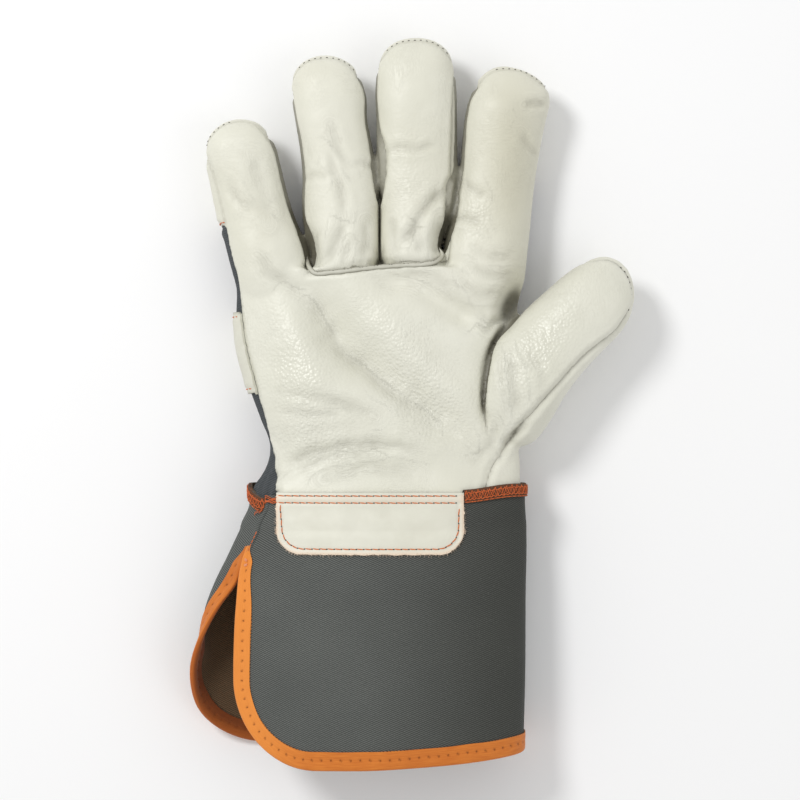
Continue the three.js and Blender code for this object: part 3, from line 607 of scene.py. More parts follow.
# Folds of the front: points on the line, how wide and deep it is, and how much leather rolls up beside it
FOLDS = [
    (MAIN_FOLD_LIP, 3.6, 1.0, 0.1),
    (MAIN_FOLD, 8.5, 5.2, 0.12),
    ([(-18.5, 54), (0.5, 53.1), (10.8, 46.8), (22.5, 39.2), (32, 34.7)], 5.0, 3.0, 0.25),
    ([(-6.0, 60.0), (8.0, 57.5), (20.0, 50.0)], 3.0, 0.8, 0.3),
    ([(-58, 5.4), (-34.2, 1.4), (-17.1, -5.4)], 2.8, 0.9, 0.3),
    ([(-60, -2.0), (-46, -4.5), (-30, -4.0)], 2.2, 0.6, 0.3),
    ([(-56.7, -29.7), (-47.7, -23), (-34.2, -19.4), (-6.8, -18.5), (3.6, -20.3)], 2.4, 1.2, 0.35),
    ([(-54.9, -32.4), (-39.2, -24.8), (-17.1, -22)], 1.8, 0.8, 0.35),
    ([(-40.0, -33.5), (-22.0, -29.0), (2.0, -30.5)], 3.0, 0.7, 0.3),
    ([(50.0, -7.5), (44.0, -15.0), (40.5, -19.0)], 2.2, 1.4, 0.35),
    ([(28.0, -24.0), (34.0, -18.0), (36.0, -8.0)], 2.2, 0.7, 0.3),
    ([(30.5, 39.5), (34.5, 36.0), (41.0, 38.5)], 1.5, 1.3, 0.5),
    ([(28.5, 35.5), (33.0, 33.0), (37.0, 34.5)], 1.4, 1.2, 0.5),
    ([(43.2, 21.2), (45, 9), (46.8, -5.4)], 2.0, 0.9, 0.4),
    ([(38.5, 20.0), (40.0, 8.0), (43.0, -4.0)], 1.6, 0.6, 0.4),
    ([(51.0, 24.0), (56.0, 14.0), (57.0, 4.0)], 2.4, 0.5, 0.3),
    ([(-36.9, 125.1), (-32, 110.7), (-27.9, 104.9)], 2.0, 1.0, 0.35),
    ([(-38.7, 113), (-33.8, 99.9), (-30.6, 88.2), (-29.7, 83.3)], 2.0, 1.0, 0.35),
    ([(-27.9, 108), (-16.7, 105.8)], 1.6, 0.8, 0.4),
    ([(-49.2, 101.7), (-37.8, 100.8)], 1.6, 0.7, 0.4),
    ([(-30.6, 80.6), (-34.0, 72.0), (-38.7, 62.1)], 2.6, 1.3, 0.35),
    ([(-28.8, 72), (-31.5, 61.7)], 2.0, 1.0, 0.35),
    ([(-44.0, 78.0), (-43.5, 64.0)], 2.4, 0.7, 0.3),
    ([(-20.5, 82.0), (-22.0, 64.0)], 2.2, 0.7, 0.3),
    ([(-13.5, 113.9), (3.2, 114.3), (12.0, 115.5)], 1.8, 0.8, 0.4),
    ([(15.3, 96.8), (6.3, 87.8), (-3.2, 74.3), (-8.1, 72)], 2.6, 1.5, 0.35),
    ([(-10.0, 84.0), (-8.0, 66.0)], 2.2, 0.7, 0.3),
    ([(12.5, 82.0), (10.0, 66.0)], 2.4, 1.0, 0.3),
    ([(1.0, 80.0), (4.0, 66.0)], 2.0, 0.6, 0.3),
    ([(50, 133.7), (60.3, 135)], 2.0, 1.2, 0.4),
    ([(47.7, 120.6), (56.3, 110.3)], 1.8, 0.8, 0.4),
    ([(22.5, 99), (32, 92.3)], 2.0, 0.9, 0.35),
    ([(18.5, 83.3), (31, 81)], 2.2, 0.9, 0.35),
    ([(24.0, 72.0), (34.0, 66.0), (46.0, 66.0)], 2.6, 0.7, 0.3),
    ([(26.0, 62.0), (36.0, 57.0), (46.0, 57.5)], 2.4, 0.8, 0.3),
    ([(22.0, 55.0), (30.0, 49.0), (38.0, 49.0)], 2.0, 0.8, 0.3),
    ([(39.5, 142.0), (39.0, 110.0), (38.5, 84.0)], 7.0, -0.9, 0.0),
    ([(-72.0, 112.0), (-68.0, 96.0), (-64.0, 80.0)], 3.0, 0.6, 0.3),
    ([(-84.0, 100.0), (-76.0, 90.0), (-62.0, 86.0)], 2.4, 0.5, 0.3),
    ([(-70.0, 66.0), (-60.0, 56.0), (-50.0, 52.0)], 3.0, 0.9, 0.3),
]

# Folds wider than this run straight, have a round bottom and get no painted shade; narrower ones are painted
# darker in their bottoms, as shade
BROAD_FOLD = 4.5
# How far the leather sinks into a seam, and how wide the sunk strip is
SEAM_DEPTH = 1.1
SEAM_WIDTH = 1.9
# How far the fingertips' leather stands above the canvas
TIP_LIFT = 0.5


def along_paths(points, path):
    """The distance in XY to an open path, and how far along it the nearest place is, 0 to 1."""
    path = table_path(path, 2.0, [0, 1])
    steps = run_of(path)
    best = np.full(len(points), 1e9)
    share = np.zeros(len(points))
    p = points[:, :2]
    for a, b, start, end in zip(path, path[1:], steps, steps[1:]):
        way = b - a
        t = np.clip(((p - a) @ way) / max(way @ way, 1e-9), 0, 1)
        away = np.linalg.norm(p - a - t[:, None] * way, axis=1)
        closer = away < best
        best = np.where(closer, away, best)
        share = np.where(closer, (start + t * (end - start)) / steps[-1], share)
    return best, share


def soft_noise(points, size, seed=0.0):
    """Smooth random values, about -1 to 1, that change over the given size in mm."""
    scaled = (points / size + seed).tolist()
    return np.array([noise.noise(Vector(p)) for p in scaled])


def thumb_crease(points):
    """How deep the crease beside the thumb is at points, and how much painted shade darkens the line under
    the thumb's edge.
    """
    line = path_of(CREASE_SEAM)
    away, _ = along_paths(points, CREASE_SEAM)
    x, y = points[:, 0], points[:, 1]
    order = np.argsort(line[:, 1])
    palm_side = x < np.interp(y, line[order, 1], line[order, 0])
    start = smoothstep(y, -17, 2)
    slope = np.where(palm_side, 2.2 * np.exp(-((away / 4.2) ** 2)), 1.2 * np.exp(-((away / 1.2) ** 2)))
    depth = start * (1 - smoothstep(y, 33, 39)) * (slope + 2.2 * np.exp(-((away / 1.1) ** 2)))
    wedge = 0.4 + 0.8 * smoothstep(y, -12, 4) + 1.1 * smoothstep(y, 6, 18)
    dark = np.exp(-((away / np.where(palm_side, wedge, 0.55)) ** 2))
    return depth, dark * start * (1 - smoothstep(y, 39, 44))


# Where two fingers lie side by side and leave only a slit, painted dark as shade: x, from y to y, half its
# width
SLITS = [(-15.05, 62.0, 101.0, 0.62), (-15.0, 62.3, 71.0, 1.5)]


def slit_dark(points):
    """How much of a slit's painted shade is at each point."""
    dark = np.zeros(len(points))
    x, y = points[:, 0], points[:, 1]
    for middle, start, end, half in SLITS:
        share = smoothstep(y, start - 1.0, start + 1.0) * (1 - smoothstep(y, end - 7, end))
        dark = np.maximum(dark, np.exp(-(((x - middle) / half) ** 2)) * share)
    return dark


def pressed_folds(points, front):
    """How deep the folds press each point, how much painted shade they lay on it, and the way to the nearest
    fold and along it.
    """
    depth_at, painted_shade_share = np.zeros(len(points)), np.zeros(len(points))
    to_fold, along_fold = np.full(len(points), 60.0), np.zeros(len(points))
    wander = np.stack([soft_noise(points, 9.0, k * 31.7) for k in (1, 2)], axis=1)
    uneven = soft_noise(points, 7.0, 11.3)
    for k, (path, width, depth, roll) in enumerate(FOLDS):
        box, reach, broad = np.asarray(path), width * 3.5 + 6, width > BROAD_FOLD
        low, high = box.min(axis=0) - reach, box.max(axis=0) + reach
        near = np.all((points[:, :2] > low) & (points[:, :2] < high), axis=1) & (front > 0)
        steady = 0.3 if broad else 1
        away, share = along_paths(points[near][:, :2] + 1.2 * steady * wander[near], path)
        ends = smoothstep(np.minimum(share, 1 - share), -0.06, 0.22)
        taken = away < to_fold[near]
        closer = np.flatnonzero(near)[taken]
        to_fold[closer] = away[taken]
        along_fold[closer] = share[taken] * np.linalg.norm(box[-1] - box[0]) + 40.0 * k
        sunk = np.exp(-((away / width) ** (2 if broad else 1.5)))
        sunk -= roll * np.exp(-(((away - 1.9 * width) / width) ** 2))
        press = depth * (1 + 0.5 * steady * uneven[near]) * ends * sunk * front[near]
        depth_at[near] += press
        # Painted shade in the narrow folds, darker where they press deeper
        if depth > 0 and not broad:
            painted_shade_share[near] = np.maximum(painted_shade_share[near], np.clip(press / 3.0, 0, 1))
    return depth_at, painted_shade_share, to_fold, along_fold


def shaped(points, faces):
    """The front's swellings, folds and hollows worked into the form: its points, how much painted shade
    lies on them, and the way to the nearest fold and along it."""
    normals = normals_of(points, faces)
    front = smoothstep(normals[:, 2], 0.05, 0.5) * smoothstep(points[:, 2], 16, 24)
    depth, painted_shade_share, to_fold, along_fold = pressed_folds(points, front)
    crease, dark = thumb_crease(points)
    slit = slit_dark(points)
    # Painted shade: the dark line under the thumb's edge and the dark slits between fingers that lie side by
    # side
    painted_shade_share = np.maximum(painted_shade_share, 1.9 * dark * smoothstep(points[:, 2], 7, 13))
    painted_shade_share = np.maximum(painted_shade_share, 1.25 * slit * smoothstep(points[:, 2], 10, 16))
    uneven = 0.24 * soft_noise(points, 12.0, 3.1) + 0.12 * soft_noise(points, 4.6, 7.7)
    lift = bells(points, SWELLINGS) * front - depth + uneven * (0.4 + 0.6 * front)
    moved = points + (normals * 0.75 + np.array([0, 0, 0.25])) * lift[:, None]
    moved[:, 2] -= crease * smoothstep(points[:, 2], 15, 21)
    palm_side = 1 - smoothstep(within(points, thumb_outline()), -1.2, 0.6)
    beside_thumb = bells(points, SINKS[:1]) * palm_side
    share = np.clip(beside_thumb + bells(points, SINKS[1:]) + 0.8 * slit, 0, 0.85)
    moved[:, 2] -= np.maximum(moved[:, 2] - SINK_Z, 0) * share
    # Painted shade in the hollow between index finger and thumb, which faces away from the light
    hollow = beside_thumb * smoothstep(points[:, 2], 14, 22)
    painted_shade_share = np.maximum(painted_shade_share, 1.7 * smoothstep(hollow, 0.14, 0.62))
    # Painted shade where the thumb's edge lies over that hollow
    fork = bells(points, THUMB_FORK) * (points[:, 2] < 27)
    painted_shade_share = np.maximum(painted_shade_share, 1.1 * smoothstep(fork, 0.1, 0.5))
    return relaxed(moved, edges_of(faces), 1), painted_shade_share, to_fold, along_fold


def seams_of(faces, label):
    """Edges between panels, as (pairs of points, pairs of labels)."""
    pairs, left, right = shared_edges(faces)
    owners = np.sort(np.stack([label[left], label[right]], axis=1), axis=1)
    differ = owners[:, 0] != owners[:, 1]
    return pairs[differ], owners[differ]


def border_of(seams, first, second):
    """The edges of the seam between two panels."""
    pairs, owners = seams
    return pairs[np.all(owners == sorted((first, second)), axis=1)]


def chains(pairs):
    """Edges put end to end, longest run first."""
    links = {}
    for a, b in pairs.tolist():
        links.setdefault(a, []).append(b)
        links.setdefault(b, []).append(a)
    runs = []
    left = {tuple(sorted(p)) for p in pairs.tolist()}
    ends = [v for v, l in links.items() if len(l) == 1] + list(links)
    for start in ends:
        run = [start]
        while True:
            here = run[-1]
            step = [n for n in links[here] if tuple(sorted((here, n))) in left]
            if not step:
                break
            left.discard(tuple(sorted((here, step[0]))))
            run.append(step[0])
        if len(run) > 1:
            runs.append(run)
    return sorted(runs, key=len, reverse=True)


def distance_to(points, targets):
    """How far each point is from the nearest target, and which target that is."""
    tree = KDTree(len(targets))
    for i, p in enumerate(targets):
        tree.insert(p, i)
    tree.balance()
    found = [tree.find(p) for p in points]
    return np.array([f[2] for f in found]), np.array([f[1] for f in found])


def seam_strength(points, seams, number):
    """How deep each point's seam is pulled: least along the fingers' sides and where the thumb's fades."""
    strength = np.ones(len(points))

    def of(first, second):
        return np.unique(border_of(seams, number[first], number[second]))

    for front in ("palm_front", "middle_ring_front"):
        for side in ("hand_back", *("tip_" + name for name in TIP_PIECES)):
            own = of(front, side)
            strength[own] = np.where(points[own, 1] > 62, 0.45, 0.8)
    own = of("palm_front", "thumb_front")
    strength[own] = 0.08 + 0.8 * smoothstep(points[own, 1], -8, 6)
    strength[of("palm_front", "thumb_back")] = 0.7
    return strength


# Making pieces


def cleaned(points, *face_sets):
    """Only the points that some face uses, with the faces renumbered."""
    used = np.unique(np.concatenate([f.reshape(-1) for f in face_sets]))
    number = np.full(len(points), -1)
    number[used] = np.arange(len(used))
    return used, [number[f] for f in face_sets]


def rim_of(faces):
    """Directed edges that only one face has."""
    pairs = np.vstack([faces[:, [k, (k + 1) % faces.shape[1]]] for k in range(faces.shape[1])])
    key = pairs[:, 0].astype(np.int64) * (faces.max() + 1) + pairs[:, 1]
    back = pairs[:, 1].astype(np.int64) * (faces.max() + 1) + pairs[:, 0]
    return pairs[~np.isin(key, back)]


def thickened(outer, inner, faces):
    """A closed shell between two layers of the same faces: points, faces, and which points are inside."""
    n = len(outer)
    rim = rim_of(faces)
    a, b = rim[:, 0], rim[:, 1]
    if faces.shape[1] == 4:
        walls = np.stack([b, a, a + n, b + n], axis=1)
    else:
        walls = np.vstack([np.stack([b, a, a + n], axis=1), np.stack([b, a + n, b + n], axis=1)])
    return np.vstack([outer, inner]), np.vstack([faces, faces[:, ::-1] + n, walls]), np.arange(2 * n) >= n


def add_piece(name, points, faces, material, slot, replaces=(), uv=None, smooth_angle=50, **values):
    """A mesh piece from points in table millimetres. The uv and the values, which become float attributes,
    have one number for each point, or for each point of a shell's outer layer, or one for all."""
    placed = (points + SHIFT) * MM
    placed[:, 2] = np.maximum(placed[:, 2], 0.0)
    mesh = mesh_from(name, placed, faces)
    mesh.shade_smooth()
    mesh.set_sharp_from_angle(angle=math.radians(smooth_angle))
    if uv is not None:
        layer = mesh.uv_layers.new(name="flat")
        uv = np.resize(uv, (len(points), 2))
        layer.data.foreach_set("uv", uv[faces.reshape(-1)].astype(np.float32).reshape(-1))
    for key, numbers in values.items():
        attribute = mesh.attributes.new(key, "FLOAT", "POINT")
        attribute.data.foreach_set("value", np.resize(np.asarray(numbers, np.float32), len(points)))
    mesh.materials.append(material)
    obj = add_object(name, mesh)
    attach(obj, "root")
    if replaces:
        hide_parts(*replaces)


# Materials


def srgb(r, g, b):
    """A colour as a shader wants it, from its 8-bit values on a screen."""
    linear = [(c / 255 / 12.92) if c <= 10 else ((c / 255 + 0.055) / 1.055) ** 2.4 for c in (r, g, b)]
    return (*linear, 1.0)


class Shader:
    """A material's nodes, added and linked in few words."""

    def __init__(self, name, roughness, specular, sheen=0.0):
        self.material = bpy.data.materials.new(name)
        self.material.use_nodes = True
        self.tree = self.material.node_tree
        self.base = self.tree.nodes["Principled BSDF"]
        surface = {"Roughness": roughness, "Specular IOR Level": specular, "Sheen Weight": sheen}
        for key, value in surface.items():
            self.base.inputs[key].default_value = value

    def feed(self, socket, value):
        """Links a socket to another one, or sets its value."""
        if isinstance(value, bpy.types.NodeSocket):
            self.tree.links.new(value, socket)
        elif value is not None:
            socket.default_value = value

    def add(self, kind, inputs, output=0, **settings):
        """The output of a new node with these settings and inputs, a dict by name or index."""
        made = self.tree.nodes.new("ShaderNode" + kind)
        for key, value in settings.items():
            setattr(made, key, value)
        for key, value in inputs.items():
            self.feed(made.inputs[key], value)
        return made.outputs[output]

    def math(self, operation, a, b=None, clamp=False):
        return self.add("Math", {0: a, 1: b}, operation=operation, use_clamp=clamp)

    def mix(self, share, a, b):
        return self.add("Mix", {0: share, 6: a, 7: b}, 2, data_type="RGBA")

    def span(self, value, low, high, to_low=0.0, to_high=1.0):
        """A value's place between low and high, from to_low to to_high."""
        return self.add("MapRange", {0: value, 1: low, 2: high, 3: to_low, 4: to_high}, clamp=True)

    def place(self, scale, rotation=(0, 0, 0), uv=False):
        """Texture coordinates times scale: metres over the object, or millimetres over the flat cloth."""
        source = self.add("TexCoord", {}, "UV" if uv else "Object")
        scale = scale if hasattr(scale, "__len__") else (scale,) * 3
        return self.add("Mapping", {"Vector": source, "Rotation": rotation, "Scale": scale})

    def noise(self, place, detail=3.0, rough=0.55, scale=1.0):
        inputs = {"Vector": place, "Scale": scale, "Detail": detail, "Roughness": rough}
        return self.add("TexNoise", inputs, "Fac")

    def value(self, name):
        return self.add("Attribute", {}, "Fac", attribute_name=name)

    def bump(self, height, distance, strength, before=None):
        inputs = {"Height": height, "Distance": distance, "Strength": strength, "Normal": before}
        return self.add("Bump", inputs)

    def done(self, colour, roughness=None, normal=None):
        for key, value in (("Base Color", colour), ("Roughness", roughness), ("Normal", normal)):
            self.feed(self.base.inputs[key], value)
        return self.material


def wrinkles(s, scale, turn, where_scale, where_turn, low):
    """Fine lines in one direction, in patches of the leather."""
    ridge = s.math("ABSOLUTE", s.math("SUBTRACT", s.noise(s.place(scale, turn), 2.0, 0.5), 0.5))
    where = s.span(s.noise(s.place(where_scale, where_turn), 2.0), low, low + 0.18)
    return s.math("MULTIPLY", s.math("SUBTRACT", 1.0, s.span(ridge, 0.0, 0.06)), where)


def fold_lines(s):
    """Fine lines along the folds, which fade within 9 mm of them."""
    to_fold = s.value("to_fold")
    beside = s.add("CombineXYZ", {"X": to_fold, "Y": s.math("MULTIPLY", s.value("along_fold"), 0.2)})
    ridge = s.math("ABSOLUTE", s.math("SUBTRACT", s.noise(beside, 3.0, 0.6, 0.75), 0.5))
    patches = s.span(s.noise(s.place(90.0), 2.0), 0.35, 0.6)
    near = s.math("MULTIPLY", s.span(to_fold, 1.0, 9.0, 1.0, 0.0), patches)
    return s.math("MULTIPLY", s.span(ridge, 0.0, 0.07, 1.0, 0.0), near)


def leather_material(name, raw, raw_share):
    """Full-grain cowhide: pebbled, with fine wrinkles, its raw edges in another colour, and rough and tan on
    the flesh side. The same colour darkens its seams and lays painted shade in its folds, gaps and hollows."""
    s = Shader(name, 0.46, 0.5)
    drift = s.noise(s.place(22.0), 3.0)
    stain = s.noise(s.place(8.0), 2.0)
    inside, grain = s.value("inside"), s.value("grain")
    across = wrinkles(s, (190.0, 900.0, 520.0), (0.2, 0.1, 0.3), 34.0, (0.7, 0.1, 0.2), 0.46)
    along = wrinkles(s, (900.0, 190.0, 520.0), (0.1, 0.3, 0.35), 40.0, (0.1, 0.9, 1.2), 0.48)
    lines = s.math("MAXIMUM", s.math("MULTIPLY", s.math("MAXIMUM", across, along), 0.6), fold_lines(s))
    colour = s.mix(s.span(drift, 0.3, 0.7), srgb(217, 216, 201), srgb(227, 226, 213))
    colour = s.mix(s.span(stain, 0.45, 0.75, 0, 0.5), colour, srgb(212, 209, 190))
    colour = s.mix(s.math("MULTIPLY", lines, 0.1), colour, srgb(158, 152, 128))
    # Painted shade over the index finger and beside its root
    colour = s.mix(s.value("painted_shade"), colour, srgb(196, 192, 168))
    # The crease value: the patch's raw edges, and on the cowhide darker seams and painted shade in folds,
    # gaps, hollows and linings
    colour = s.mix(s.span(s.value("crease"), 0.0, 1.0, 0, raw_share), colour, raw)
    flesh = s.mix(s.noise(s.place(600.0), 4.0), srgb(190, 176, 148), srgb(150, 134, 106))
    colour = s.mix(inside, colour, flesh)
    pebbles = {"Vector": s.place(700.0), "Scale": 1.0, "Smoothness": 0.45}
    pebbles = s.add("TexVoronoi", pebbles, "Distance", feature="SMOOTH_F1")
    normal = s.bump(s.math("MULTIPLY", lines, -1.0), 0.00025, 0.5)
    normal = s.bump(s.math("MULTIPLY", pebbles, s.math("MULTIPLY", grain, -1.0)), 0.0006, 0.8, normal)
    rough = s.math("SUBTRACT", s.span(drift, 0.3, 0.7, 0.44, 0.54), s.math("MULTIPLY", grain, 0.17))
    rough = s.math("ADD", rough, s.math("MULTIPLY", inside, 0.4))
    return s.done(colour, rough, normal)


def cloth_material(name, light, dark, inside_light, inside_dark, rib):
    """Twill: diagonal ribs of yarn over the flat cloth, rib mm apart, with pale slubs, and painted shade
    where a piece asks for it.
    """
    slope = (0, 0, 0.38)
    s = Shader(name, 0.92, 0.18, 0.06)
    wave = {"Vector": s.place((1.0, 1.0, 1.0), slope, uv=True), "Scale": 0.314 / rib, "Distortion": 0.9}
    wave.update({"Detail": 2.0, "Detail Scale": 1.6})
    ribs = s.add("TexWave", wave, "Fac", wave_type="BANDS", bands_direction="Y", wave_profile="SIN")
    yarn = s.noise(s.place((0.9, 3.4, 1.0), slope, uv=True), 3.0, 0.6)
    weft = s.noise(s.place((3.4, 0.8, 1.0), uv=True), 3.0, 0.6)
    slub = s.noise(s.place((1.2, 1.2, 1.0), uv=True), 2.0, 0.7)
    broad = s.noise(s.place((0.02, 0.03, 1.0), uv=True), 3.0)
    inside = s.value("inside")
    low, high = s.mix(inside, dark, inside_dark), s.mix(inside, light, inside_light)
    shade = s.math("ADD", s.math("MULTIPLY", ribs, 0.8), s.math("MULTIPLY", s.math("ADD", yarn, weft), 0.5))
    colour = s.mix(s.math("SUBTRACT", shade, 0.4, clamp=True), low, high)
    # Painted shade, where a piece asks for it
    colour = s.mix(s.value("dim"), colour, s.mix(0.55, colour, srgb(34, 33, 24)))
    colour = s.mix(s.span(slub, 0.62, 0.8, 0.0, 0.35), colour, s.mix(inside, srgb(146, 147, 142), high))
    colour = s.mix(s.span(broad, 0.35, 0.7, 0.0, 0.16), colour, low)
    height = s.math("ADD", s.math("MULTIPLY", ribs, 0.7), s.math("MULTIPLY", yarn, 0.5))
    return s.done(colour, None, s.bump(height, 0.00022, 0.55))


def tape_material():
    """Woven binding tape: a fine weave with faint lines along it, painted light on the front flap's edge and
    painted shade on the back flap's tape. Its width runs along V.
    """
    s = Shader("woven_tape", 0.74, 0.2, 0.12)
    along = s.noise(s.place((0.12, 2.6, 1.0), uv=True), 3.0, 0.6)
    weft = s.noise(s.place((3.2, 1.6, 1.0), uv=True), 3.0, 0.6)
    worn = s.noise(s.place(60.0), 3.0)
    colour = s.mix(s.span(along, 0.3, 0.7), srgb(192, 102, 36), srgb(222, 133, 54))
    colour = s.mix(s.span(weft, 0.35, 0.75, 0.0, 0.5), colour, srgb(204, 118, 48))
    colour = s.mix(s.span(worn, 0.45, 0.75, 0.0, 0.35), colour, srgb(184, 100, 40))
    # Painted light along the front flap's edge
    colour = s.mix(s.value("painted_tape_light"), colour, srgb(244, 154, 70))
    # Painted shade on the back flap's turned tape
    colour = s.mix(s.value("deep"), colour, srgb(138, 60, 24))
    # Darker at the needle holes, and painted shade on the back flap's inner face
    colour = s.mix(s.value("crease"), colour, srgb(92, 42, 16))
    return s.done(colour, None, s.bump(s.math("ADD", along, weft), 0.00022, 0.6))


def thread_material(name, colour, dark):
    """Spun thread, darker between its strands."""
    s = Shader(name, 0.6, 0.3)
    twist = s.noise(s.place(2600.0), 2.0)
    return s.done(s.mix(s.span(twist, 0.3, 0.7), dark, colour), None, s.bump(twist, 0.0001, 0.5))


# The cuff twill's inside colours: painted shade, and a painted reflection of orange light from the binding
TWILL_INSIDE_PAINTED_SHADE = srgb(126, 102, 76), srgb(56, 42, 30)
GREY_INSIDE = srgb(110, 100, 86), srgb(50, 44, 38)
# The cowhide's raw colour is that of its seams and of the painted shade in its folds and gaps
COWHIDE = leather_material("cowhide", srgb(92, 88, 72), 0.92)
PATCH_LEATHER = leather_material("patch_cowhide", srgb(236, 213, 188), 0.85)
TWILL = cloth_material("grey_twill", srgb(118, 121, 117), srgb(48, 50, 49), *TWILL_INSIDE_PAINTED_SHADE, 0.78)
CANVAS = cloth_material("grey_canvas", srgb(96, 100, 102), srgb(44, 47, 50), *GREY_INSIDE, 0.72)
EDGE_CLOTH = cloth_material("frayed_cloth_edge", srgb(128, 84, 58), srgb(58, 42, 34), *GREY_INSIDE, 0.6)
WOVEN_TAPE = tape_material()
ORANGE_THREAD = thread_material("orange_thread", srgb(222, 118, 66), srgb(178, 80, 38))
PATCH_THREAD = thread_material("rust_thread", srgb(226, 132, 72), srgb(186, 92, 44))
DARK_THREAD = thread_material("dark_thread", srgb(74, 66, 54), srgb(38, 34, 28))
PALE_THREAD = thread_material("pale_thread", srgb(236, 170, 130), srgb(210, 128, 88))
FLUFF = thread_material("raw_edge_fibres", srgb(240, 226, 208), srgb(224, 196, 172))


# Where the leather's pebbles stand out and shine, and where shade is painted on it: over the index finger,
# which turns away from the light, and beside its root
GRAINY = [
    dict(x=-50.8, y=15.0, across=14, along=24, turn=-20, rise=0.8),
    dict(x=-6.0, y=22.0, across=13, along=26, turn=-35, rise=0.8),
    dict(x=-46.0, y=-16.0, across=16, along=12, rise=0.7),
    dict(x=7.6, y=-0.5, across=16, along=14, rise=0.7),
    dict(x=57.0, y=24.0, across=12, along=24, turn=40, rise=0.9),
    dict(x=28.0, y=84.0, across=10, along=12, rise=0.7),
    dict(x=1.0, y=100.0, across=12, along=22, rise=0.3),
]
PAINTED_SHADE_SPOTS = [
    dict(x=44.0, y=106.0, across=13, along=40, rise=0.6),
    dict(x=47.0, y=54.0, across=9, along=14, rise=0.3),
]

# The seam across the finger bases, from the gap beside the little finger to the one beside the index finger
LIP = [
    (-47.6, 66.2), (-47.2, 62.4), (-44.6, 58.4), (-36.0, 58.2), (-23.4, 59.6), (-14.0, 60.6), (-3.0, 61.4),
    (5.0, 61.8), (10.4, 63.2), (13.0, 66.2), (11.6, 69.8),
]


# Thread


def along_of(path):
    """Unit directions along a path of points."""
    return unit(np.gradient(path, axis=0))


def round_tube(path, up, radius, sides=6, taper=None):
    """Points and triangles of a thread round a path; up is roughly the surface's normal along it."""
    way = along_of(path)
    side = unit(np.cross(way, up))
    top = np.cross(side, way)
    angle = np.linspace(0, 2 * math.pi, sides, endpoint=False)
    wide = radius * (np.ones(len(path)) if taper is None else taper)
    offset = np.cos(angle)[None, :, None] * side[:, None] + np.sin(angle)[None, :, None] * top[:, None]
    return tube(path[:, None] + offset * wide[:, None, None])


def resampled(path, step):
    """A path's points at about equal steps, and its length."""
    path = np.asarray(path, float)
    run = run_of(path)
    at = np.linspace(0, run[-1], max(2, round(run[-1] / step) + 1))
    return columns_at(at, run, path), run[-1]


# Stitches: the distance from one to the next, the share of it that a thread covers, the thread's radius, how
# high it stands, how it is slanted (in radians), and how uneven the distances are
BINDING_STITCH = dict(pitch=1.5, length=0.62, radius=0.16, height=0.08, angle=0.8)
PATCH_STITCH = dict(pitch=3.3, length=1.0, radius=0.25, height=0.24, angle=0.1)
PATCH_HOLE = dict(pitch=3.3, length=0.16, radius=0.27, height=0.32)
BAND_STITCH = dict(pitch=2.8, length=0.95, radius=0.2, height=0.2)
SLIT_STITCH = dict(pitch=2.0, length=0.95, radius=0.24, height=0.2)
STRAP_STITCH = dict(pitch=2.8, length=0.74, radius=0.26, height=0.22)
TIP_STITCH = dict(pitch=2.8, length=0.74, radius=0.26, height=0.3)
TIP_DOT = dict(pitch=2.7, length=0.3, radius=0.2, height=0.14)
LIP_DOT = dict(pitch=1.7, length=0.34, radius=0.13, height=0.12, wobble=0.25)


def stitches(path, normals, seed, pitch, length, radius, height, angle=0.0, wobble=0.08):
    """A run of lockstitches along a path on a surface: short threads that rise from their holes and go in."""
    random = np.random.default_rng(seed)
    both, total = resampled(np.hstack([path, normals]), 0.25)
    spot, normal = both[:, :3], both[:, 3:]
    normal = unit(normal)
    run = np.linspace(0, total, len(spot))
    parts = []
    arch = np.linspace(-0.5, 0.5, 7)
    for k in range(int(total / pitch)):
        middle = (k + 0.5) * pitch + random.normal(0, wobble)
        at = middle + arch * pitch * length * random.uniform(0.92, 1.06)
        line, up = columns_at(at, run, spot), columns_at(at, run, normal)
        way = along_of(line)
        side = np.cross(way, up)
        line += side * (arch * math.sin(angle) * pitch * length)[:, None]
        line += up * (height * (1 - (2 * arch) ** 2 * 1.3))[:, None]
        parts.append(round_tube(line, up, radius, taper=1 - 0.35 * (2 * arch) ** 4))
    return joined(parts)


def thread_piece(name, runs, material, slot):
    """Threads as one piece."""
    add_piece(name, *joined(runs), material, slot, smooth_angle=180)


# The cuff, as a sheet over (share of the way round, y). The way runs from the front flap's edge over the top,
# round the fold on the thumb side, and back along the floor to the back flap's edge.

CUFF_TOP_Y = -38.0
CUFF_JOIN_Y = -44.0
BELLY_Z = 2.0
HEM_CORNER = 38.0
WRIST_AWAY = 1.2
# y, the front edge's x and z, the crown's z, and the fold's x and z
CUFF_UPPER = [
    (-170, -76.0, 40, 56, 48.6, 27),
    (-138, -78.0, 39, 55, 49.0, 26),
    (-112, -78.6, 39, 53, 49.6, 25),
    (-90, -77.6, 37, 50, 50.2, 24),
    (-68, -74.5, 33, 46, 50.6, 23),
    (-56, -69.5, 35, 43, 50.4, 22),
]
# y, the side's x, and the back edge's x and z
CUFF_LOWER = [
    (-170, -87, -97.0, 15.0),
    (-138, -92.5, -99.4, 20.0),
    (-112, -95.4, -97.6, 25.0),
    (-90, -93.6, -87.0, 29.0),
    (-80, -90.0, -79.6, 30.4),
    (-68, -84, -75.2, 31.8),
    (-56, -78, -69.7, 34.4),
]
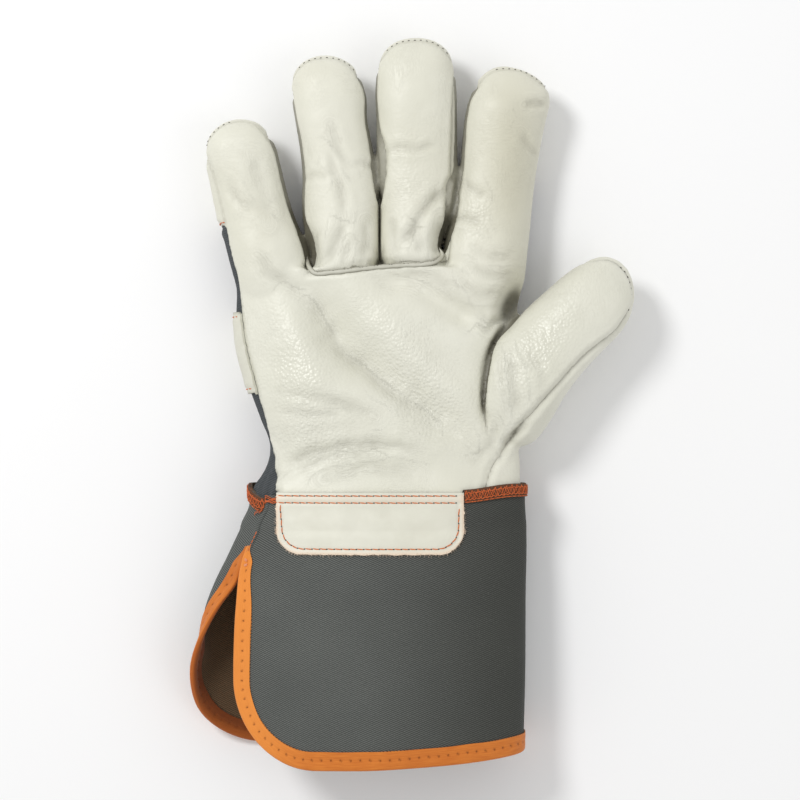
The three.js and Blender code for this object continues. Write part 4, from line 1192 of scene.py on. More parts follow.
# The hem's y at shares of the way round, before its two corners are rounded
HEM = [
    (0, -160.0), (0.115, -159.6), (0.2, -159.2), (0.28, -158.0),
    (0.36, -156.2), (0.44, -153.8), (0.6, -153.0), (1, -153.0),
]
BINDING_WIDTH = 7.2
BINDING_START_Y = -63.0
TAPE = 0.65
HOLE_PITCH = 4.4
HOLE_INSET = 3.5
PATCH = dict(left=-60.2, right=22.1, top=-39.2, bottom=-66.4, corner=11.0, thick=1.3)
BAND_TOP_Y, BAND_BOTTOM_Y = -38.0, -43.9
ROUND_POINTS = 201


def spread(curve):
    """A cuff curve as ROUND_POINTS evenly spaced points."""
    curve = np.asarray(curve, float)
    run = run_of(curve)
    return columns_at(np.linspace(0, run[-1], ROUND_POINTS), run, curve)


def wrist_curve():
    """The cuff's section at the wrist, x and z, just outside the palm's, from the slit round to the slit."""
    row = table_at(PALM, CUFF_TOP_Y)[0]
    grown = [CUFF_TOP_Y, row[0] - WRIST_AWAY, row[1] + WRIST_AWAY, row[2] - WRIST_AWAY, row[3] + WRIST_AWAY]
    ring = rings([grown], PALM_SQUARENESS)[0][:, [0, 2]]
    seam = int(np.flatnonzero((ring[:, 1] > 20) & (ring[:, 0] < ULNAR_SEAM[0][0] - 1.5))[0])
    turned = np.vstack([ring[: seam + 1][::-1], ring[seam:][::-1]])
    return spread(turned)


def open_curve(y):
    """The cuff's section below the wrist, x and z, from the front flap's edge to the back flap's."""
    front_x, front_z, crown_z, fold_x, fold_z = table_at(CUFF_UPPER, y)[0]
    side_x, back_x, back_z = table_at(CUFF_LOWER, y)[0]
    middle = (front_x + fold_x) / 2
    turn = fold_z - BELLY_Z
    knots = np.array(
        [
            (front_x, front_z),
            (front_x + (middle - front_x) * 0.45, front_z + (crown_z - front_z) * 0.75),
            (middle, crown_z),
            (middle + (fold_x - middle) * 0.62, crown_z + (fold_z - crown_z) * 0.24),
            (fold_x - 3.6, crown_z + (fold_z - crown_z) * 0.66),
            (fold_x, fold_z),
            (fold_x - 4, BELLY_Z + turn * 0.36),
            (fold_x - 18, BELLY_Z),
            (middle, BELLY_Z),
            (side_x + 26, BELLY_Z),
            (side_x + 6, BELLY_Z + (back_z - BELLY_Z) * 0.28),
            (min(side_x + 1, back_x + 3), BELLY_Z + (back_z - BELLY_Z) * 0.66),
            (back_x, back_z),
        ]
    )
    key = np.concatenate([[0], np.cumsum(np.linalg.norm(np.diff(knots, axis=0), axis=1) ** 0.5)])
    curve = table_at(np.column_stack([key, knots]), np.linspace(0, key[-1], 400))
    curve[:, 1] = np.maximum(curve[:, 1], BELLY_Z)
    return spread(curve)


WRIST = wrist_curve()
FIRST_OPEN_Y = CUFF_UPPER[-1][0]
CURVE_YS = np.arange(-176.0, -30.0, 1.0)


def cuff_curve(y):
    """The cuff's section at y, x and z."""
    if y >= CUFF_JOIN_Y:
        return WRIST
    if y >= FIRST_OPEN_Y:
        return WRIST + (open_curve(FIRST_OPEN_Y) - WRIST) * smoothstep(-y, -CUFF_JOIN_Y, -FIRST_OPEN_Y)
    return open_curve(y)


CURVES = np.array([cuff_curve(y) for y in CURVE_YS])
CUFF_ROUND = run_of(cuff_curve(-100.0))[-1]
WRIST_ROUND = run_of(WRIST)[-1]


def cuff_wave(round_mm, y):
    """How far the cloth swells out or in, in slow waves."""
    slow = 0.5 * np.sin(round_mm / 19 + 0.9 * np.sin(y / 33)) * np.sin(y / 27 + 1.3)
    return slow + 0.22 * np.sin(round_mm / 8.5 + y / 13) + 0.14 * np.sin(round_mm / 5.1 - y / 21)


def cuff_at(share, y, away):
    """Points of the cuff at shares of the way round, at y and away from its middle surface."""
    share, y, away = np.broadcast_arrays(*(np.asarray(value, float) for value in (share, y, away)))
    held = np.clip(share, 0, 1)
    at = held * (ROUND_POINTS - 1)
    i = np.minimum(at.astype(int), ROUND_POINTS - 2)
    row = np.clip(y - CURVE_YS[0], 0, len(CURVE_YS) - 1.001)
    r = row.astype(int)
    t, u = (at - i)[..., None], (row - r)[..., None]

    def curve_point(k):
        k = np.clip(k, 0, ROUND_POINTS - 1)
        return CURVES[r, k] * (1 - u) + CURVES[r + 1, k] * u

    spot = curve_point(i) * (1 - t) + curve_point(i + 1) * t
    before = curve_point(i - 1) * (1 - t) + curve_point(i) * t
    after = curve_point(i + 1) * (1 - t) + curve_point(i + 2) * t
    way = unit(after - before)
    normal = np.stack([-way[..., 1], way[..., 0]], axis=-1)
    wave = cuff_wave(held * CUFF_ROUND, y) * smoothstep(-y, 50, 85) * smoothstep(spot[..., 1], 4, 16)
    spare = (share - held) * CUFF_ROUND
    place = spot + normal * (away + wave)[..., None] + way * spare[..., None]
    return np.stack([place[..., 0], y, place[..., 1]], axis=-1)


def hem_y(share):
    """The hem's y, with its two corners rounded."""
    share = np.asarray(share, float)
    straight = table_at(HEM, share.reshape(-1))[:, 0].reshape(share.shape)
    inside = np.clip(HEM_CORNER - np.minimum(share, 1 - share) * CUFF_ROUND, 0, HEM_CORNER)
    return straight + HEM_CORNER - np.sqrt(HEM_CORNER**2 - inside**2)


def grid_faces(rows, columns):
    """Four-sided faces between the points of a grid."""
    index = np.arange(rows * columns).reshape(rows, columns)
    a, b, c, d = index[:-1, :-1], index[1:, :-1], index[1:, 1:], index[:-1, 1:]
    return np.stack([a, b, c, d], axis=-1).reshape(-1, 4)


def cuff_sheet(shares, levels, top, bottom, low, high):
    """A sheet between two distances from the cuff's middle surface: points, faces, flat places and inside."""
    share = np.broadcast_to(shares[None, :], (len(levels), len(shares)))
    y = top(share) + (bottom(share) - top(share)) * levels[:, None] + 0 * share
    outer, inner = cuff_at(share, y, high(share, y)), cuff_at(share, y, low(share, y))
    faces = grid_faces(len(levels), len(shares))
    points, faces, inside = thickened(outer.reshape(-1, 3), inner.reshape(-1, 3), faces)
    return points, faces, np.stack([share * CUFF_ROUND, y], axis=-1).reshape(-1, 2), inside


def constant(value):
    """A function that is the same everywhere."""
    return lambda *_: value


def cuff_path(share, y, away):
    """A path on the cuff, with the surface's normals."""
    spot = cuff_at(share, y, away)
    return spot, unit(cuff_at(share, y, np.asarray(away) + 1.0) - spot)


def make_cuff():
    """The cuff's cloth, whose upper edge runs under the patch and the band."""
    shares, levels = np.linspace(0, 1, 240), np.linspace(0, 1, 96)
    patch_end = float(share_of(PATCH["right"], -42.0))

    def top(share):
        return np.where(share < patch_end, -40.5, CUFF_TOP_Y + top_rise(share))

    inner, outer = constant(-CLOTH / 2), constant(CLOTH / 2)
    points, faces, flat, inside = cuff_sheet(shares, levels, top, hem_y, inner, outer)
    # Painted shade: the cuff's top darker towards the thumb side, where it turns away from the light
    dim = smoothstep(points[:, 0], -40, 52) * (points[:, 2] > 18) * ~inside
    add_piece("cuff_cloth", points, faces, TWILL, "twill", ["cuff"], flat, inside=inside, dim=dim)


def binding_path():
    """The way along the cuff's free edge, as places on the flat cloth about 0.6 mm apart, and its length."""
    side = np.linspace(0, 1, 160)[:-1]
    ends = [float(hem_y(0.0)), float(hem_y(1.0))]
    front = [(0.0, BINDING_START_Y + (ends[0] - BINDING_START_Y) * t) for t in side]
    turn = np.cos(np.linspace(0, math.pi, 900))
    round_hem = [(s, float(hem_y(s))) for s in 0.5 - 0.5 * turn * (0.6 + 0.4 * np.abs(turn))]
    back = [(1.0, ends[1] + (BINDING_START_Y - ends[1]) * t) for t in side[1:]]
    flat = np.array([(s * CUFF_ROUND, y) for s, y in [*front, *round_hem, *back]])
    keep = np.concatenate([[True], np.diff(run_of(flat)) > 1e-6])
    return resampled(flat[keep], 0.6)


def binding_place(path, inward, across, out):
    """Points at distances in from the free edge and away from the cuff's middle surface."""
    spots = path[:, None] + inward[:, None] * across[..., None]
    return cuff_at(spots[..., 0] / CUFF_ROUND, spots[..., 1], out).reshape(-1, 3)


def make_binding():
    """The tape folded over the free edge, with its row of needle holes, and the stitches along its edges."""
    path, total = binding_path()
    way = np.pad(along_of(path), ((4, 4), (0, 0)), "edge")
    way = unit(np.stack([np.convolve(column, np.ones(9) / 9, "valid") for column in way.T], axis=1))
    inward = np.stack([-way[:, 1], way[:, 0]], axis=1)
    side = np.linspace(0, BINDING_WIDTH, 17)
    inset = np.concatenate([side[::-1], np.zeros(7), side])
    turn = np.concatenate([np.zeros(17), np.linspace(0, math.pi, 9)[1:-1], np.full(17, math.pi)])
    run = np.linspace(0, total, len(path))
    from_end = np.minimum(run, total - run)
    wide_at = np.where(run > total / 2, 18.0, 36.0)
    narrow = 0.12 + 0.5 * smoothstep(from_end, 0.5, 8.0) + 0.38 * smoothstep(from_end / wide_at, 0.16, 1.0)
    half = CLOTH / 2
    full = np.sqrt(np.clip(1 - np.clip((inset - 3.6) / 4.3, -1, 1) ** 6, 0, 1))
    height = half + 0.12 + TAPE * (0.25 + 0.75 * full)
    row = inset[None] - HOLE_INSET
    phase = (run[:, None] + 0.45 * row) % HOLE_PITCH - HOLE_PITCH / 2
    present = (narrow > 0.6)[:, None] * ((turn == 0) | (turn == math.pi))[None]
    hole = np.exp(-((phase / 0.36) ** 2) - (row / 0.5) ** 2) * present
    pull = np.exp(-((phase / 1.2) ** 2) - (row / 1.4) ** 2) * present
    radius = height[None] - (0.4 * hole + 0.14 * pull + 0.1 * np.exp(-((row / 0.8) ** 2)))
    wobble = 0.18 * np.sin(run / 9.1) + 0.12 * np.sin(run / 3.7 + 1)
    under = inset[None] * narrow[:, None]
    across = under - np.sin(turn)[None] * radius * 0.9 + wobble[:, None] * (inset[None] > 0.1)
    outer = binding_place(path, inward, across, np.cos(turn)[None] * radius)
    tucked = np.broadcast_to(np.cos(turn)[None] * (half + 0.02), radius.shape)
    inner = binding_place(path, inward, under, tucked)
    points, faces, _ = thickened(outer, inner, grid_faces(len(path), len(inset))[:, ::-1])
    arc = np.cumsum(np.concatenate([[0], np.abs(np.diff(inset)) + 0.35 * (np.diff(turn) > 0)]))
    flat = np.stack(np.broadcast_arrays(run[:, None], arc[None]), axis=-1).reshape(-1, 2)
    share = path[:, 0] / CUFF_ROUND
    # Painted shade on the inner face of the back flap's tape, deeper further in; elsewhere the needle holes
    # are darker
    back = smoothstep(share, 0.62, 0.8)[:, None] * smoothstep(-path[:, 1], 84, 104)[:, None]
    shade = (turn > 2)[None] * back * (0.25 + 0.5 * smoothstep(inset[None], 0.5, 5.0))
    crease = np.clip(hole * 1.1 * (1 - back) + shade, 0, 1)
    # Painted light along the front flap's edge
    painted_tape_light = 0.6 * (1 - smoothstep(path[:, 0], 4.0, 40.0))[:, None] * np.ones_like(hole)
    # Painted shade on the back flap's turned tape
    deep = 0.5 * smoothstep(share, 0.7, 0.9)[:, None] * (turn > 0.8)[None]
    marks = dict(crease=crease, painted_tape_light=painted_tape_light, deep=deep)
    add_piece("binding_tape", points, faces, WOVEN_TAPE, "tape", ["cuff_binding"], flat, 60, **marks)
    runs = []
    line = path + inward * (BINDING_WIDTH * narrow - 0.05)[:, None]
    for way in (1, -1):
        spot, normal = cuff_path(line[:, 0] / CUFF_ROUND, line[:, 1], way * (half + 0.2))
        runs.append(stitches(spot, normal * way, 5, **BINDING_STITCH))
    thread_piece("binding_edge_stitches", runs, DARK_THREAD, "canvas")


def share_of(x, y):
    """The share of the way round, on the upper side of the cuff, at which it has this x."""
    x, y = np.broadcast_arrays(np.asarray(x, float), np.asarray(y, float))
    row = np.clip(y - CURVE_YS[0], 0, len(CURVE_YS) - 1.001)
    r = row.astype(int)
    upper = round(ROUND_POINTS * 0.42)
    shares = np.linspace(0, 1, ROUND_POINTS)[:upper]
    found = np.empty(x.shape)
    for k in np.unique(r):
        own = r == k
        first = np.interp(x[own], CURVES[k, :upper, 0], shares)
        second = np.interp(x[own], CURVES[k + 1, :upper, 0], shares)
        found[own] = first + (second - first) * (row[own] - k)
    return found


def patch_bottom(x):
    """The patch's lower edge, with its two corners rounded."""
    from_edge = np.clip(np.minimum(x - PATCH["left"], PATCH["right"] - x), 0, None)
    corner = PATCH["corner"]
    inside = np.clip(corner - from_edge, 0, corner)
    return PATCH["bottom"] + corner - np.sqrt(corner**2 - inside**2)


def patch_edge(x, y):
    """How far a place on the patch is from its nearest raw edge."""
    return np.minimum(np.minimum(x - PATCH["left"], PATCH["right"] - x), y - patch_bottom(x))


PATCH_ROWS = (-40.6, -43.7)
PATCH_SEAM = 2.4


def patch_height(x, y):
    """The patch's outer side above the cuff's middle surface."""
    near = np.clip(patch_edge(x, y), 0, 9)
    swell = 0.5 * smoothstep(near, 2.6, 8) * smoothstep(-y, 45.5, 52)
    dip = 0.3 * np.exp(-(((near - PATCH_SEAM) / 0.8) ** 2)) * (y < -44)
    for row in PATCH_ROWS:
        dip = dip + 0.35 * np.exp(-(((y - row) / 0.7) ** 2))
    thick = PATCH["thick"] * (0.75 + 0.25 * smoothstep(near, 0, 1.2))
    ripple = 0.16 * np.sin(x * 0.45 + y * 0.2) * np.sin(y / 4.0 + 0.8)
    return CLOTH / 2 + 0.2 + thick + swell - dip + ripple - 0.8 * smoothstep(y, -40.0, PATCH["top"])


def patch_path(x, y, over):
    """A path on the patch, with the surface's normals, over its outer side."""
    x, y = np.broadcast_arrays(x, y)
    return cuff_path(share_of(x, y), y, patch_height(x, y) + over)


def make_patch():
    random = np.random.default_rng(8)
    make_patch_leather(random)
    make_patch_stitches()
    make_patch_fibres(random)


def make_patch_leather(random):
    """The patch as a sheet, its sides and lower edge a little ragged."""
    left, right, top = PATCH["left"], PATCH["right"], PATCH["top"]
    rows, columns = 50, 130
    x = left + (right - left) * (0.5 - 0.5 * np.cos(np.linspace(0, math.pi, columns)))
    ragged = np.interp(x, x[::2], random.normal(0, 0.12, len(x[::2])))
    x = np.broadcast_to(x[None], (rows, columns)).copy()
    y = top + (patch_bottom(x) + ragged[None] - top) * np.linspace(0, 1, rows)[:, None]
    side = np.interp(y[:, 0], y[::-2, 0], random.normal(0, 0.25, rows // 2))
    x[:, 0] += side
    x[:, -1] -= side[::-1]
    share = share_of(x, y)
    low = CLOTH / 2 + 0.2 - 1.1 * smoothstep(y, -40.0, top)
    outer, inner = cuff_at(share, y, patch_height(x, y)), cuff_at(share, y, low)
    points, faces, _ = thickened(outer.reshape(-1, 3), inner.reshape(-1, 3), grid_faces(rows, columns))
    raw = np.exp(-((np.clip(patch_edge(x, y), 0, 9) / 1.3) ** 2)) * (y < -40)
    band = smoothstep(y, -43.6, -43.2) * (1 - smoothstep(y, -40.6, -40.2))
    marks = dict(inside=0, crease=np.clip(raw + 0.3 * band, 0, 1))
    flat = np.stack([x, y], axis=-1).reshape(-1, 2)
    add_piece("vein_patch_leather", points, faces, PATCH_LEATHER, "leather", ["vein_patch"], flat, **marks)


def make_patch_stitches():
    """Two rows across the patch's top and one inside its other edges, each with its needle holes."""
    left, right, inset = PATCH["left"], PATCH["right"], PATCH_SEAM
    across = np.linspace(left + 0.8, right - 0.8, 200)
    lines = [(across, np.full(200, level), 4) for level in PATCH_ROWS]
    turns = np.linspace(0, math.pi / 2, 12)
    radius, base = PATCH["corner"] - inset + 1, PATCH["bottom"] + inset
    lefts = [(left + inset + radius * (1 - math.cos(t)), base + radius * (1 - math.sin(t))) for t in turns]
    rights = [(right - inset - radius * (1 - math.sin(t)), base + radius * (1 - math.cos(t))) for t in turns]
    ends = (left + inset - 0.6, -44.5), (right - inset + 0.4, -44.5)
    edge, _ = resampled([ends[0], *lefts, *rights, ends[1]], 0.5)
    lines.append((edge[:, 0], edge[:, 1], 3))
    rows, holes = [], []
    for k, (x, y, late) in enumerate(lines):
        spot, normal = patch_path(x, y, -0.1)
        rows.append(stitches(spot, normal, 1 + k, **PATCH_STITCH))
        holes.append(stitches(spot[late:], normal[late:], 1 + k, **PATCH_HOLE))
    thread_piece("patch_stitches", rows, PATCH_THREAD, "tape")
    thread_piece("patch_needle_holes", holes, DARK_THREAD, "canvas")


def make_patch_fibres(random):
    """Fine fibres that stand out of the patch's raw edges."""
    around = np.linspace(PATCH["left"], PATCH["right"], 300)
    down = np.linspace(-45, PATCH["bottom"] + 9, 50)
    edge = [(PATCH["left"], level) for level in down]
    edge += list(zip(around, patch_bottom(around)))
    edge += [(PATCH["right"], level) for level in down[::-1]]
    edge, _ = resampled(np.array(edge), 0.2)
    way = along_of(edge)
    taper = np.array([1, 0.9, 0.7, 0.3])
    fibres = []
    for place, out in zip(edge, np.stack([way[:, 1], -way[:, 0]], axis=1)):
        for _ in range(5):
            lean = out * random.uniform(0.3, 1.1) + random.normal(0, 0.5, 2)
            t = np.linspace(0, 1, 4)[:, None] * random.uniform(0.4, 1.2)
            line = place - out * 0.6 + lean * t
            height = CLOTH / 2 + 0.3 + random.uniform(0.1, PATCH["thick"] * 0.7)
            height = height + random.normal(0, 0.35) * t[:, 0]
            path = cuff_at(share_of(line[:, 0], line[:, 1]), line[:, 1], height)
            fibres.append(round_tube(path, np.array([0, 0, 1.0]) + 0 * path, 0.06, 3, taper))
    thread_piece("patch_edge_fibres", fibres, FLUFF, "leather")


def top_rise(share):
    """How far the wrist seam is above its level over the palm: more on the thumb side, less at the slit."""
    run = np.asarray(share, float) * WRIST_ROUND
    return 2.6 * smoothstep(run, 86, 112) - 6.4 * smoothstep(run, WRIST_ROUND - 17, WRIST_ROUND - 1)


def cord(round_mm, y, away, radius):
    """A thread on the band: how far round the wrist, y below the band's own rise, and its height."""
    share = round_mm / WRIST_ROUND
    spot, normal = cuff_path(share, y + top_rise(share), away)
    return round_tube(spot, normal, radius, 5)


def make_band():
    """The overlocked edge round the top of the cuff, with its threads and their loose ends."""
    start = float(share_of(PATCH["right"] + 0.3, -42.0))
    low, high = CLOTH / 2 + 0.15, CLOTH / 2 + 0.85

    def top_side(share, y):
        return high - 0.5 * smoothstep(y - top_rise(share), -39.4, BAND_TOP_Y) + 0.1 * np.sin(share * 500)

    def under(share, y):
        return low - 0.9 * smoothstep(y - top_rise(share), -39.2, BAND_TOP_Y)

    def upper(share):
        return BAND_TOP_Y + top_rise(share)

    def lower(share):
        return BAND_BOTTOM_Y + top_rise(share)

    shares, levels = np.linspace(start, 1, 220), np.linspace(0, 1, 10)
    points, faces, flat, _ = cuff_sheet(shares, levels, upper, lower, under, top_side)
    add_piece("wrist_band", points, faces, EDGE_CLOTH, "overlock", ["wrist_seam"], flat, inside=0)
    random = np.random.default_rng(12)
    first, last = start * WRIST_ROUND + 0.2, WRIST_ROUND - 0.3
    make_overlock(first, last, high, random)
    make_loose_ends(last, high, random)


def make_overlock(first, last, high, random):
    """Two threads that sway across the band, one along each of its edges, and the stitches below them."""
    at = np.arange(first, last, 0.16)
    jitter = np.interp(at, at[::9], random.normal(0, 0.12, len(at[::9])))

    def sway(pitch, shift=0.0):
        return np.arcsin(np.sin(2 * math.pi * at / pitch + shift)) / (math.pi / 2)

    runs = [
        cord(at, -40.4 + 1.9 * sway(2.6) + 2.0 * jitter, high + 0.12 + 0.08 * sway(2.6, 1.5), 0.16),
        cord(at, -40.6 + 1.5 * sway(2.6, 2.2) - 2.0 * jitter, high + 0.25 - 0.1 * sway(2.6, 0.4), 0.14),
        cord(at, -42.4 + 0.3 * sway(1.9) + 0.5 * jitter, high + 0.2, 0.22),
        cord(at, -39.6 + 0.3 * sway(2.3) + 0.5 * jitter, high + 0.1, 0.2),
    ]
    spot, normal = cuff_path(at / WRIST_ROUND, -43.5 + top_rise(at / WRIST_ROUND), high + 0.02)
    runs.append(stitches(spot, normal, 6, **BAND_STITCH))
    thread_piece("overlock_threads", runs, ORANGE_THREAD, "overlock")


def make_loose_ends(last, high, random):
    """Thread ends that hang at the slit, and threads that cross from there to the patch's corner."""
    ends = []
    t = np.linspace(0, 1, 14)
    for k in range(3):
        share = last - 0.6 - k + random.uniform(0.5, 1.2) * np.sin(t * 4 + k)
        y = -42.6 - k * 0.3 - random.uniform(2, 4) * t
        ends.append(cord(share, y, high + 0.2 + 0.4 * np.sin(t * 3), 0.15))
    for k in range(7):
        x = -66.4 + 6.4 * t + random.normal(0, 0.3)
        y = -41.4 - 0.42 * k - random.uniform(-0.8, 1.2) * t + 0.7 * np.sin(t * random.uniform(3, 7) + k)
        spot, normal = cuff_path(share_of(x, y), y, high + 0.1 + 0.5 * np.sin(t * math.pi))
        ends.append(round_tube(spot, normal, 0.18, 5))
    thread_piece("overlock_loose_ends", ends, ORANGE_THREAD, "overlock")


def make_side_seam():
    """The seam above the slit, its fine stitch line, and the knots that end it."""
    y = np.linspace(-43.0, -66.0, 60)
    spot, normal = cuff_path(0.4 / CUFF_ROUND, y, CLOTH / 2 - 0.55)
    points, ridge = round_tube(spot, normal, 1.3, 10)
    add_piece("side_seam_fold", points, ridge, TWILL, "twill", (), points[:, :2], inside=0)
    y = np.linspace(-56.5, -66.0, 40)
    spot, normal = cuff_path(0.6 / CUFF_ROUND, y, CLOTH / 2 + 0.5)
    thread_piece("side_seam_stitches", [stitches(spot, normal, 9, **SLIT_STITCH)], ORANGE_THREAD, "tape")
    tack = []
    for k, y in enumerate((-69.5, -71.6)):
        share = (np.linspace(0.6, 1.9, 8) + 0.5 * k) / CUFF_ROUND
        for lift in (0.0, 0.5):
            spot, normal = cuff_path(share, y + lift + 0.3 * np.sin(share * 900), CLOTH / 2 + TAPE + 0.25)
            tack.append(round_tube(spot, normal, 0.34))
    thread_piece("bar_tack", tack, PALE_THREAD, "tape")


# The hand's pieces


def surface_tree(points, faces):
    """A surface that rays and nearest places can be asked of."""
    return BVHTree.FromPolygons(points.tolist(), faces.tolist())


def on_surface(tree, path):
    """The nearest places to a path on a surface, and its normals there."""
    found = [tree.find_nearest(Vector(p)) for p in path]
    return np.array([f[0][:] for f in found]), np.array([f[1][:] for f in found])


def smooth_line(path, times=6):
    """A path with its small turns evened out, and its ends kept."""
    path = np.asarray(path, float)
    for _ in range(times):
        inner = (path[:-2] + path[1:-1] * 2 + path[2:]) / 4
        path = np.vstack([path[:1], inner, path[-1:]])
    return path


def section_path(tree, y, centre, fan):
    """The surface's outline at y, seen from a middle point at the given angles, with its normals."""
    spots, normals = [], []
    for angle in fan:
        way = Vector((math.cos(angle), 0.0, math.sin(angle)))
        start = Vector((centre[0], y, centre[1]))
        hit = tree.ray_cast(start, way)
        if hit[0] is not None:
            spots.append(hit[0][:])
            normals.append(hit[1][:])
    return np.array(spots), np.array(normals)


def make_hand():
    """The panels of the hand with their folds and seams, the strap, and what is stitched on them."""
    form, faces, edges = hand_form()
    label, names = cut_into_panels(form, faces, edges)
    number = {name: i for i, name in enumerate(names)}
    shape, painted_shade_share, to_fold, along_fold = shaped(form, faces)
    joined_label = np.where(label == number["under_strap"], number["hand_back"], label)
    pairs, owners = seams_of(faces, joined_label)
    real = ~np.any(owners == number["opening"], axis=1)
    seams = pairs[real], owners[real]
    shape = gathered(shape, faces, edges, np.isin(label, [number["hand_back"], number["under_strap"]]))
    outer, normals, tuck = tucked_at_seams(shape, faces, edges, seams, number, label)
    # Seams darker, with the painted shade of folds, gaps and hollows
    crease = np.clip(tuck + 0.5 * painted_shade_share, 0, 1)
    # Painted shade on the linings of the finger gaps, darker lower down and towards the finger roots
    lining = np.unique(faces[np.isin(label, [number[name] for name in FORKS])])
    depth = 1 - smoothstep(outer[lining, 2], 14, 30)
    base = 1 - smoothstep(outer[lining, 1], 80, 94)
    crease[lining] = np.clip(0.56 + 0.25 * depth + 0.4 * base, 0, 1)
    marks = dict(
        crease=crease,
        to_fold=to_fold,
        along_fold=along_fold,
        grain=np.clip(0.12 + bells(outer, GRAINY), 0, 1),
        # Painted shade over the index finger and beside its root
        painted_shade=np.clip(bells(outer, PAINTED_SHADE_SPOTS), 0, 1),
    )
    make_panels(outer, normals, faces, label, number, marks)
    make_strap(outer, normals, faces[label == number["under_strap"]])
    tree = surface_tree(outer, faces)
    make_tip_stitches(tree, outer, seams, number)
    make_lip(tree)


def gathered(shape, faces, edges, cloth):
    """The form with the canvas gathered into soft folds, deepest near the wrist."""
    own = np.unique(faces[cloth])
    at = shape[own]
    fold = np.sin(at[:, 0] * 0.95 + at[:, 2] * 1.25 + 0.05 * at[:, 1] + 0.8 * soft_noise(at, 6.0, 2.2))
    gathers = np.zeros(len(shape))
    gathers[own] = (smoothstep(-at[:, 1], 8, 36) + 0.18) * fold * smoothstep(at[:, 2], 4.0, 11.0)
    gathers = relaxed(gathers[:, None], edges, 5)
    return shape + normals_of(shape, faces) * gathers


def tucked_at_seams(shape, faces, edges, seams, number, label):
    """The form sunk along its seams and raised at the fingertips, its normals, and how dark its seams are."""
    seam_points = np.unique(seams[0])
    strength = seam_strength(shape, seams, number)
    away, nearest = distance_to(shape, shape[seam_points])
    firm = strength[seam_points][nearest]
    for _ in range(3):
        firm = relaxed(firm[:, None], edges, 4)[:, 0]
    puckers = (1 + 0.35 * soft_noise(shape, 2.6, 5.5)) * firm
    sink = SEAM_DEPTH * np.exp(-((away / SEAM_WIDTH) ** 2)) * puckers
    lift = 0.28 * np.exp(-(((away - 3.6) / 1.6) ** 2)) * puckers
    tips = np.isin(label, [number["tip_" + name] for name in TIP_PIECES])
    lift[np.unique(faces[tips])] += TIP_LIFT
    above_rest = smoothstep(shape[:, 2], 2.2, 5.0)
    outer = shape + normals_of(shape, faces) * (lift * above_rest - sink)[:, None]
    normals = unit(relaxed(normals_of(outer, faces), edges, 3))
    return outer, normals, 0.4 * firm * np.exp(-((away / 0.7) ** 2))


def make_panels(outer, normals, faces, label, number, marks):
    """Each panel as a shell inside the outer form, thin where index finger and thumb meet."""
    notch = smoothstep(bells(outer, SINKS[:1]), 0.15, 0.5)
    pieces = {name: [name] for name in number if name not in ("opening", "under_strap", "hand_back")}
    pieces["hand_back"] = ["hand_back", "under_strap"]
    for name, parts in pieces.items():
        used, (own,) = cleaned(outer, faces[np.isin(label, [number[part] for part in parts])])
        layer, full, material, slot = outer[used], LEATHER, COWHIDE, "leather"
        values = {key: numbers[used] for key, numbers in marks.items()}
        if name == "hand_back":
            full, material, slot = CLOTH, CANVAS, "canvas"
            values = dict(crease=values["crease"])
        thick = full * (1 - 0.85 * notch[used])[:, None]
        points, shell, inside = thickened(layer, layer - normals[used] * thick, own)
        values["inside"] = inside * (1 - np.tile(notch[used] > 0.4, 2))
        add_piece(name + "_panel", points, shell, material, slot, [name], layer[:, :2], 80, **values)


def make_strap(outer, normals, faces):
    """The leather strap on the canvas across the knuckles, and the stitches along its two edges."""
    used, (own,) = cleaned(outer, faces)
    layer, up = outer[used], normals[used]
    border = np.minimum(layer[:, 1] - STRAP_FROM_Y, STRAP_TO_Y - layer[:, 1])
    bulge = 0.25 * np.exp(-(((border - 4.0) / 1.6) ** 2)) - 0.2 * np.exp(-(((border - 2.0) / 0.8) ** 2))
    lifted = layer + up * (1.5 + bulge * smoothstep(layer[:, 2], 3, 6))[:, None]
    lifted[:, 2] = np.maximum(lifted[:, 2], 0.02)
    points, shell, _ = thickened(lifted, layer + up * 0.15, own)
    flat, crease = layer[:, :2], 0.1 + 0.4 * np.exp(-((border / 0.6) ** 2))
    name, replaced = "knuckle_strap_leather", ["knuckle_strap"]
    add_piece(name, points, shell, COWHIDE, "leather", replaced, flat, 40, inside=0, crease=crease)

    tree = surface_tree(points, shell)
    fan = np.linspace(math.radians(150), math.radians(372), 360)
    runs = []
    for k, y in enumerate((STRAP_FROM_Y + 2.0, STRAP_TO_Y - 2.0)):
        spots, ups = section_path(tree, y, STRAP_MIDDLE, fan)
        keep = np.abs(np.gradient(spots[:, 0])) + np.abs(np.gradient(spots[:, 2])) < 4.0
        from_middle = spots - np.array([STRAP_MIDDLE[0], y, STRAP_MIDDLE[1]])
        ups[np.einsum("ij,ij->i", ups, from_middle) < 0] *= -1
        spots, ups = outermost(tree, spots[keep], ups[keep])
        for start, end in runs_of(spots, 6.0):
            if end - start > 8:
                line = smooth_line(spots[start:end], 3)
                runs.append(stitches(line, ups[start:end], 20 + k, **STRAP_STITCH))
    thread_piece("strap_stitches", runs, ORANGE_THREAD, "tape")


